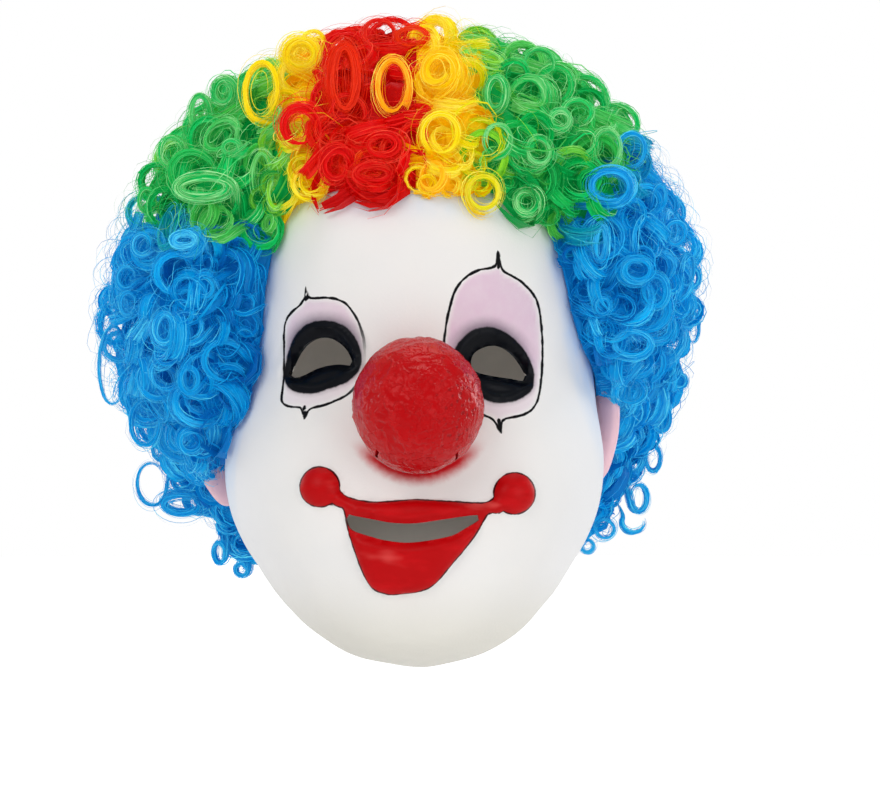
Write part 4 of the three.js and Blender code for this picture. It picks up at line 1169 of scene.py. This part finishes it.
def under_part(outside, inside, block):
    """The dense hair of one block, closed at its edges."""
    rows, columns = outside.shape[:2]
    after = (np.arange(columns) + 1) % columns
    index = np.arange(rows * columns).reshape(rows, columns)
    quads = np.stack((index[:-1], index[:-1][:, after], index[1:][:, after], index[1:]), -1)
    middle = (outside[:-1] + outside[1:] + outside[:-1][:, after] + outside[1:][:, after]) / 4
    mine = block_of(middle) == block
    face = quads[mine][:, ::-1]
    edges = np.concatenate([np.stack((face[:, k], face[:, (k + 1) % 4]), -1) for k in range(4)])
    total = rows * columns
    rim = edges[~np.isin(edges[:, 0] * total + edges[:, 1], edges[:, 1] * total + edges[:, 0])]
    rim_walls = np.stack((rim[:, 1], rim[:, 0], rim[:, 0] + total, rim[:, 1] + total), -1)
    walls = np.concatenate((face, face[:, ::-1] + total, rim_walls))
    points = np.concatenate((outside.reshape(-1, 3), inside.reshape(-1, 3)))
    used, walls = np.unique(walls, return_inverse=True)
    points = points[used]
    flow = 0.8 * points + 6.0 * np.stack([ripple(points, 17, seed) for seed in (41, 42, 43)], -1)
    many = len(points)
    return {
        "points": points, "walls": walls.reshape(-1, 4), "grain": flow,
        "light_shade": np.full(many, UNDER_SHADE), "warmth": np.full(many, UNDER_WARMTH),
        "along": np.full(many, UNDER_ALONG),
    }


# Materials
def node(tree, kind, sockets=None, **settings):
    made = tree.nodes.new(kind)
    for name, value in settings.items():
        setattr(made, name, value)
    for key, value in (sockets or {}).items():
        if isinstance(value, bpy.types.NodeSocket):
            tree.links.new(value, made.inputs[key])
        else:
            made.inputs[key].default_value = value
    return made


def value_of(tree, name):
    return node(tree, "ShaderNodeAttribute", attribute_name=name).outputs["Fac"]


def ranged(tree, value, low, high, start=0.0, end=1.0):
    """A value turned from one range into another, easing at both ends."""
    limits = {"Value": value, "From Min": low, "From Max": high, "To Min": start, "To Max": end}
    return node(tree, "ShaderNodeMapRange", limits, interpolation_type="SMOOTHSTEP").outputs["Result"]


def maths(tree, kind, a, b=0.0):
    return node(tree, "ShaderNodeMath", {0: a, 1: b}, operation=kind).outputs[0]


def times(tree, a, b):
    return maths(tree, "MULTIPLY", a, b)


def plus(tree, a, b):
    return maths(tree, "ADD", a, b)


def minus(tree, a, b):
    return maths(tree, "SUBTRACT", a, b)


def mixed(tree, share, a, b):
    return node(tree, "ShaderNodeMix", {0: share, 6: a, 7: b}, data_type="RGBA").outputs[2]


def noise(tree, scale, detail=2.0, roughness=0.5, vector=None, stretch=None):
    place = vector or node(tree, "ShaderNodeTexCoord").outputs["Object"]
    if stretch:
        place = node(tree, "ShaderNodeMapping", {"Vector": place, "Scale": stretch}).outputs["Vector"]
    looks = {"Vector": place, "Scale": scale, "Detail": detail, "Roughness": roughness}
    return node(tree, "ShaderNodeTexNoise", looks).outputs["Fac"]


def material(name, roughness, sockets=None):
    made = bpy.data.materials.new(name)
    made.use_nodes = True
    shader = made.node_tree.nodes["Principled BSDF"]
    shader.inputs["Roughness"].default_value = roughness
    for key, value in (sockets or {}).items():
        shader.inputs[key].default_value = value
    return made, made.node_tree, shader


def bumped(tree, shader, height, strength, distance):
    bump = node(tree, "ShaderNodeBump", {"Height": height, "Strength": strength, "Distance": distance})
    tree.links.new(bump.outputs["Normal"], shader.inputs["Normal"])


def effect(name, inputs, outputs):
    """A shared group of nodes, with its number inputs and outputs."""
    group = bpy.data.node_groups.new(name, "ShaderNodeTree")
    for socket, value in inputs.items():
        made = group.interface.new_socket(socket, in_out="INPUT", socket_type="NodeSocketFloat")
        made.default_value = value
    for socket in outputs:
        group.interface.new_socket(socket, in_out="OUTPUT", socket_type="NodeSocketFloat")
    return group, group.nodes.new("NodeGroupInput").outputs, group.nodes.new("NodeGroupOutput").inputs


def cast_latex():
    """Fine unevenness of cast latex: soft mottling, pores and brush drag."""
    group, given, result = effect("cast_latex", {"Coarse": 60.0, "Fine": 900.0}, ("Mottle", "Height"))
    soft = noise(group, given["Coarse"], 3.0, 0.55)
    pores = noise(group, given["Fine"], 2.0, 0.6)
    group.links.new(soft, result["Mottle"])
    group.links.new(plus(group, times(group, soft, 0.6), times(group, pores, 0.4)), result["Height"])
    return group


def hair_grain():
    """Fine hairs side by side along a lock: light and dark streaks that run with it."""
    group, given, result = effect("hair_grain", {"Fineness": 1.0}, ("Streak", "Band", "Height"))
    run = node(group, "ShaderNodeAttribute", attribute_name="grain").outputs["Vector"]
    fine = noise(group, given["Fineness"], 2.0, 0.6, run, (2.3, 2.3, 0.07))
    band = noise(group, given["Fineness"], 2.0, 0.5, run, (0.5, 0.5, 0.1))
    group.links.new(ranged(group, fine, 0.36, 0.64), result["Streak"])
    group.links.new(ranged(group, band, 0.38, 0.62), result["Band"])
    group.links.new(fine, result["Height"])
    return group


LATEX_EFFECT, HAIR_EFFECT = cast_latex(), hair_grain()


def cast(tree, coarse, fine):
    """The mottling and the height of cast latex."""
    made = node(tree, "ShaderNodeGroup", {"Coarse": coarse, "Fine": fine}, node_tree=LATEX_EFFECT)
    return made.outputs["Mottle"], made.outputs["Height"]


PAINTS = {
    "latex": (0.955, 0.945, 0.93), "latex mottle": (0.935, 0.93, 0.925), "latex side shade": (0.93, 0.935, 0.95),
    "latex chin shade": (0.875, 0.86, 0.81), "blue hair glow": (0.76, 0.86, 0.97), "lime hair glow": (0.87, 0.95, 0.74),
    "eye pink": (0.885, 0.775, 0.845), "eye haze": (0.3, 0.27, 0.33), "eye smudge": (0.35, 0.32, 0.38),
    "eye black": (0.01, 0.015, 0.035), "eye black worn": (0.03, 0.045, 0.08), "ink": (0.02, 0.015, 0.03),
    "strayed red and nose shade": (0.78, 0.02, 0.08), "lip red": (0.73, 0.0, 0.02), "lip red worn": (0.78, 0.02, 0.05),
    "lip highlight": (0.93, 0.38, 0.36), "lip edge": (0.27, 0.0, 0.03), "nose red": (0.76, 0.0, 0.03),
    "nose mottle": (0.68, 0.0, 0.02), "nose bubbles": (0.5, 0.01, 0.04), "nose crest highlight": (0.9, 0.3, 0.3),
}
PAINT_GUIDES = ("to_side", "to_chin", "near_hair", "lime_corner", "eye_pink", "eye_black", "above_eye",
                "eye_line", "eye_tips", "eye_ink", "nose_ring", "below_nose", "lips")


def paint(name):
    return linear(*PAINTS[name])


def painted_latex():
    made, tree, shader = material("white latex, painted face", 0.5, {"Specular IOR Level": 0.12})
    mottle, height = cast(tree, 55.0, 950.0)
    kept = {name: value_of(tree, name) for name in PAINT_GUIDES}
    colour = mixed(tree, mottle, paint("latex"), paint("latex mottle"))

    def over(share, coat):
        return mixed(tree, share, colour, paint(coat) if isinstance(coat, str) else coat)

    # Painted shade: the sides of the face and the underside of the chin are darker.
    colour = over(times(tree, kept["to_side"], 0.6), "latex side shade")
    colour = over(times(tree, kept["to_chin"], 0.75), "latex chin shade")
    # Painted light: beside the hairline the latex takes on the colour that the hair throws on it, blue, and
    # lime at the upper corners.
    hair_glow = times(tree, kept["near_hair"], ranged(tree, noise(tree, 90.0), 0.2, 0.8, 0.35, 0.75))
    colour = over(hair_glow, mixed(tree, kept["lime_corner"], paint("blue hair glow"), paint("lime hair glow")))
    wobble = times(tree, minus(tree, noise(tree, 420.0, 3.0, 0.6), 0.5), 1.3)
    cloud = noise(tree, 130.0, 3.0, 0.6)
    colour = over(times(tree, kept["eye_pink"], ranged(tree, cloud, 0.1, 0.8, 0.75, 1.0)), "eye pink")
    black = plus(tree, kept["eye_black"], times(tree, wobble, 0.6))
    haze = times(tree, ranged(tree, black, 5.5, 0.0), kept["above_eye"])
    colour = over(times(tree, haze, 0.55), "eye haze")
    colour = over(times(tree, ranged(tree, black, 2.2, 0.0), 0.3), "eye smudge")
    inked = ranged(tree, black, 0.5, -0.3)
    colour = over(inked, mixed(tree, noise(tree, 160.0), paint("eye black"), paint("eye black worn")))
    edge = maths(tree, "ABSOLUTE", plus(tree, kept["eye_line"], times(tree, wobble, 0.16)))
    width = ranged(tree, noise(tree, 240.0), 0.3, 0.7, 0.32, 0.6)
    line = ranged(tree, maths(tree, "MINIMUM", minus(tree, edge, width), kept["eye_tips"]), 0.22, -0.12)
    worn = ranged(tree, noise(tree, 330.0, 1.0), 0.16, 0.26)
    colour = over(times(tree, line, times(tree, kept["eye_ink"], worn)), "ink")
    # Red overspray below the nose, with painted shade: it is deepest right under the nose.
    ring = plus(tree, kept["nose_ring"], times(tree, wobble, 1.2))
    colour = over(times(tree, ranged(tree, ring, 6.2, 0.5), kept["below_nose"]), "strayed red and nose shade")
    lips = plus(tree, kept["lips"], times(tree, wobble, 0.22))
    drag = noise(tree, 70.0, 3.0, 0.55, stretch=(1.0, 1.0, 2.6))
    red = mixed(tree, ranged(tree, drag, 0.42, 0.72), paint("lip red"), paint("lip red worn"))
    # Painted highlight: pale streaks across the red of the lips.
    highlight_streaks = noise(tree, 48.0, 2.0, 0.5, stretch=(0.8, 1.0, 2.4))
    red = mixed(tree, times(tree, ranged(tree, highlight_streaks, 0.6, 0.78), 0.55), red, paint("lip highlight"))
    painted = ranged(tree, lips, 0.16, -0.16)
    colour = over(painted, red)
    rim_width = ranged(tree, noise(tree, 200.0), 0.3, 0.7, 0.02, 0.3)
    rim = minus(tree, maths(tree, "ABSOLUTE", plus(tree, lips, 0.15)), rim_width)
    colour = over(ranged(tree, rim, 0.25, -0.05), "lip edge")
    tree.links.new(colour, shader.inputs["Base Color"])
    gloss = maths(tree, "MAXIMUM", inked, times(tree, painted, 0.7))
    tree.links.new(ranged(tree, gloss, 0.0, 1.0, 0.55, 0.36), shader.inputs["Roughness"])
    bumped(tree, shader, height, 0.28, 0.0006)
    return made


def bare_latex(name, shade):
    made, tree, shader = material(name, 0.6)
    mottle, height = cast(tree, 45.0, 700.0)
    dark = tuple(c * 0.9 for c in shade)
    tree.links.new(mixed(tree, mottle, linear(*shade), linear(*dark)), shader.inputs["Base Color"])
    bumped(tree, shader, height, 0.3, 0.0006)
    return made


def nose_red():
    made, tree, shader = material("red latex, brushed", 0.27, {
        "Specular IOR Level": 0.34, "Specular Tint": (1.0, 0.35, 0.35, 1)})
    mottle, height = cast(tree, 90.0, 800.0)
    colour = mixed(tree, mottle, paint("nose red"), paint("nose mottle"))
    place = node(tree, "ShaderNodeTexCoord").outputs["Object"]
    spots = node(tree, "ShaderNodeTexVoronoi", {"Vector": place, "Scale": 330.0}).outputs["Distance"]
    right = ranged(tree, node(tree, "ShaderNodeSeparateXYZ", {"Vector": place}).outputs["X"], 0.002, 0.016)
    bubbles = times(tree, ranged(tree, spots, 0.32, 0.1), right)
    colour = mixed(tree, times(tree, bubbles, 0.6), colour, paint("nose bubbles"))
    worm = minus(tree, noise(tree, 150.0, 3.0, 0.5), 0.5)
    crease = ranged(tree, maths(tree, "ABSOLUTE", worm), 0.09, 0.0)
    patch = ranged(tree, noise(tree, 38.0), 0.44, 0.6)
    # Painted highlight: a faint pale red along the crests of the crinkles, in patches.
    colour = mixed(tree, times(tree, times(tree, crease, patch), 0.1), colour, paint("nose crest highlight"))
    tree.links.new(colour, shader.inputs["Base Color"])
    lumps = plus(tree, times(tree, height, 0.5), times(tree, crease, 0.45))
    bumped(tree, shader, minus(tree, lumps, times(tree, bubbles, 0.4)), 0.6, 0.0012)
    return made


# Colours of the hair: in the shade, of the body of a lock, in the light, and the tones it warms and cools to.
HAIR_COLOURS = {
    # shade, body, light, warm, cool
    "red": ((0.7, 0.0, 0.01), (0.91, 0.03, 0.03), (1.0, 0.38, 0.26), (1.0, 0.38, 0.04), (0.82, 0.0, 0.08)),
    "yellow": (
        (0.95, 0.72, 0.0), (0.95, 0.89, 0.0), (1.0, 0.97, 0.42), (1.0, 0.66, 0.02), (0.82, 0.88, 0.02),
    ),
    "green": ((0.0, 0.6, 0.27), (0.0, 0.79, 0.39), (0.74, 0.97, 0.7), (0.6, 0.88, 0.12), (0.0, 0.62, 0.38)),
    "blue": ((0.0, 0.44, 0.74), (0.0, 0.655, 0.9), (0.4, 0.92, 1.0), (0.0, 0.72, 0.95), (0.0, 0.64, 0.66)),
}


def hair_material(name):
    shade, body, light, warm, cool = (linear(*c) for c in HAIR_COLOURS[name])
    # The hair glows a little in its own colour: painted light, as if lit through its fibres.
    made, tree, shader = material(name + " fibre hair", 0.5, {
        "Specular IOR Level": 0.12, "Emission Strength": 0.16, "Sheen Weight": 0.1, "Sheen Roughness": 0.4,
        "Sheen Tint": light})
    grain = node(tree, "ShaderNodeGroup", {"Fineness": 1.0}, node_tree=HAIR_EFFECT)
    colour = mixed(tree, ranged(tree, value_of(tree, "warmth"), 0.25, 1.0), body, warm)
    colour = mixed(tree, ranged(tree, value_of(tree, "warmth"), 0.0, -0.8), colour, cool)
    # Painted shade and painted highlights: a low value darkens a lock to the shade colour, a high one
    # lightens it to the light colour in bands along the hairs.
    colour = mixed(tree, ranged(tree, value_of(tree, "light_shade"), 0.15, -0.5), colour, shade)
    lift = times(tree, ranged(tree, value_of(tree, "light_shade"), 0.0, 1.2), grain.outputs["Band"])
    colour = mixed(tree, times(tree, lift, 0.9), colour, light)
    dark = times(tree, minus(tree, 1.0, grain.outputs["Streak"]), 0.4)
    colour = mixed(tree, dark, colour, shade)
    # Painted shade at the roots of the hairs.
    root = ranged(tree, value_of(tree, "along"), 0.25, 0.0)
    colour = mixed(tree, times(tree, root, 0.5), colour, shade)
    tree.links.new(colour, shader.inputs["Base Color"])
    tree.links.new(colour, shader.inputs["Emission Color"])
    tree.links.new(ranged(tree, grain.outputs["Streak"], 0.0, 1.0, 0.55, 0.36), shader.inputs["Roughness"])
    bumped(tree, shader, grain.outputs["Height"], 0.4, 0.0005)
    return made


# Pieces
CREASE = math.radians(50)


def show(piece, looks, slot, *nodes):
    """Gives a piece its materials and its place in the frame."""
    for look in looks:
        piece.data.materials.append(look)
    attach(piece, "root")
    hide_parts(*nodes)


def smoothed(piece, smoothing, **settings):
    select_only(piece)
    smoothing(**settings)
    return piece


face = smoothed(latex_head(), bpy.ops.object.shade_smooth_by_angle, angle=CREASE)
show(face, (painted_latex(), bare_latex("bare latex inside", (0.9, 0.88, 0.85))), "latex", "mask_shell")
nose = smoothed(ball_nose(), bpy.ops.object.shade_smooth_by_angle, angle=CREASE)
show(nose, (nose_red(),), "nose_latex", "nose")
ear_latex = bare_latex("pale latex ears", (1.0, 0.82, 0.86))
for row in EARS:
    show(smoothed(ear(*row), bpy.ops.object.shade_smooth), (ear_latex,), "latex", "mask_shell")

BROAD_LOCK, FRONT_UNTIL = 2.3, 20
HAIR_LOOKS = {name: hair_material(name) for name in HAIR_COLOURS}
HEAD_REACH = head_reach_table()
outer_dense, inner_dense = under_hair()
shown = front_ringlets()
outer_layer = clear_of(spread_ringlets(count=800, fill=0.84, size=7.4, seed=3), shown, room=-1.5)
# The inner layer has thicker locks and is painted darker, as shade under the outer ringlets.
dim = {"thick": 0.42, "light": -0.15}
inner_layer = clear_of(spread_ringlets(count=480, fill=0.64, size=8.2, seed=8, **dim), shown, room=-3.0)
broad = shown["lock"] >= BROAD_LOCK
in_front = outer_layer["middle"][:, 1] < FRONT_UNTIL
LAYERS = (
    # ringlets, steps, bands, hairs, half width of a hair
    (pick(shown, broad), 25, FULL_BANDS, 76, 0.16),
    (pick(shown, ~broad), 23, FULL_BANDS, 30, 0.15),
    (pick(outer_layer, in_front), 18, FULL_BANDS, 27, 0.16),
    (pick(outer_layer, ~in_front), 14, FEW_BANDS, 9, 0.3),
    (inner_layer, 12, FEW_BANDS, 4, 0.4),
    (edge_ringlets(share=0.98, fill=0.6, spacing=7.0, size=4.4, seed=15), 13, FEW_BANDS, 12, 0.17),
    (edge_ringlets(share=0.9, fill=0.72, spacing=8.0, size=5.0, seed=16), 13, FEW_BANDS, 12, 0.17),
    (edge_ringlets(share=0.8, fill=0.8, spacing=10.0, size=5.6, seed=17), 13, FEW_BANDS, 12, 0.2),
)
strays = loose_hairs(count=4600, seed=27)
for number, block in enumerate(WIG_BLOCKS):
    colour_name = block.split("_")[0]
    parts = [under_part(outer_dense, inner_dense, number), strays[number]]
    for table, steps, bands, hairs, half_width in LAYERS:
        parts += ringlets(pick(table, table["block"] == number), steps, bands, hairs, half_width)
    show(mesh_of("curls_" + block, parts), (HAIR_LOOKS[colour_name],), colour_name + "_hair",
         "hair_blue" if colour_name == "blue" else "hair_" + block)

# Floor, lights and camera
FLOOR_DROP, FLOOR_REACH = 0.46, 6.0
floor = added("floor", bpy.ops.mesh.primitive_circle_add, vertices=96, radius=FLOOR_REACH, fill_type="NGON",
              location=(0, 0, -FLOOR_DROP))
PALE, PALEST = (0.86, 0.86, 0.86, 1), (0.9, 0.9, 0.9, 1)
paper, tree, shader = material("pale paper", 0.9, {"Specular IOR Level": 0.1, "Emission Color": (1, 1, 1, 1)})
seen = node(tree, "ShaderNodeLightPath").outputs["Is Camera Ray"]
tree.links.new(times(tree, seen, 0.85), shader.inputs["Emission Strength"])
tree.links.new(mixed(tree, noise(tree, 3.0), PALE, PALEST), shader.inputs["Base Color"])
floor.data.materials.append(paper)


def aim_of(place, target):
    dx, dy, dz = (t - p for t, p in zip(target, place))
    return (math.atan2(math.hypot(dx, dy), -dz), 0.0, math.atan2(dy, dx) - math.pi / 2)


for name, place, size, power in (
    # name, place and width in metres, watts
    ("key", (-0.7, -1.3, 0.65), 0.9, 7),
    ("fill", (1.0, -1.2, 0.1), 1.1, 5.5),
    ("top", (0.1, 0.2, 1.1), 0.9, 6),
    ("back_left", (-1.0, 0.7, 0.2), 0.6, 4),
    ("back_right", (1.0, 0.7, 0.2), 0.6, 4),
):
    lamp = bpy.data.lights.new(name, "AREA")
    lamp.shape, lamp.size, lamp.energy = "DISK", size, power
    holder = bpy.data.objects.new(name, lamp)
    bpy.context.scene.collection.objects.link(holder)
    holder.location, holder.rotation_euler = place, aim_of(place, HEAD_CENTRE * MM)

world = bpy.data.worlds.new("studio")
world.use_nodes = True
sky = world.node_tree
sky.nodes["Background"].inputs["Color"].default_value = (1.0, 1.0, 1.0, 1.0)
sky.links.new(ranged(sky, node(sky, "ShaderNodeLightPath").outputs["Is Camera Ray"], 0.0, 1.0, 0.5, 1.0),
              sky.nodes["Background"].inputs["Strength"])
bpy.context.scene.world = world
bpy.context.scene.view_settings.view_transform = "Standard"

SENSOR_WIDTH, LENS_LENGTH, FAR_CLIP = 36.0, 145.7, 20.0
lens = bpy.data.cameras.new("camera")
lens.sensor_width, lens.lens, lens.clip_end = SENSOR_WIDTH, LENS_LENGTH, FAR_CLIP
camera = bpy.data.objects.new("camera", lens)
camera.location = EYE * MM
camera.rotation_euler = (math.pi / 2, 0.0, 0.0)
bpy.context.scene.collection.objects.link(camera)
bpy.context.scene.camera = camera
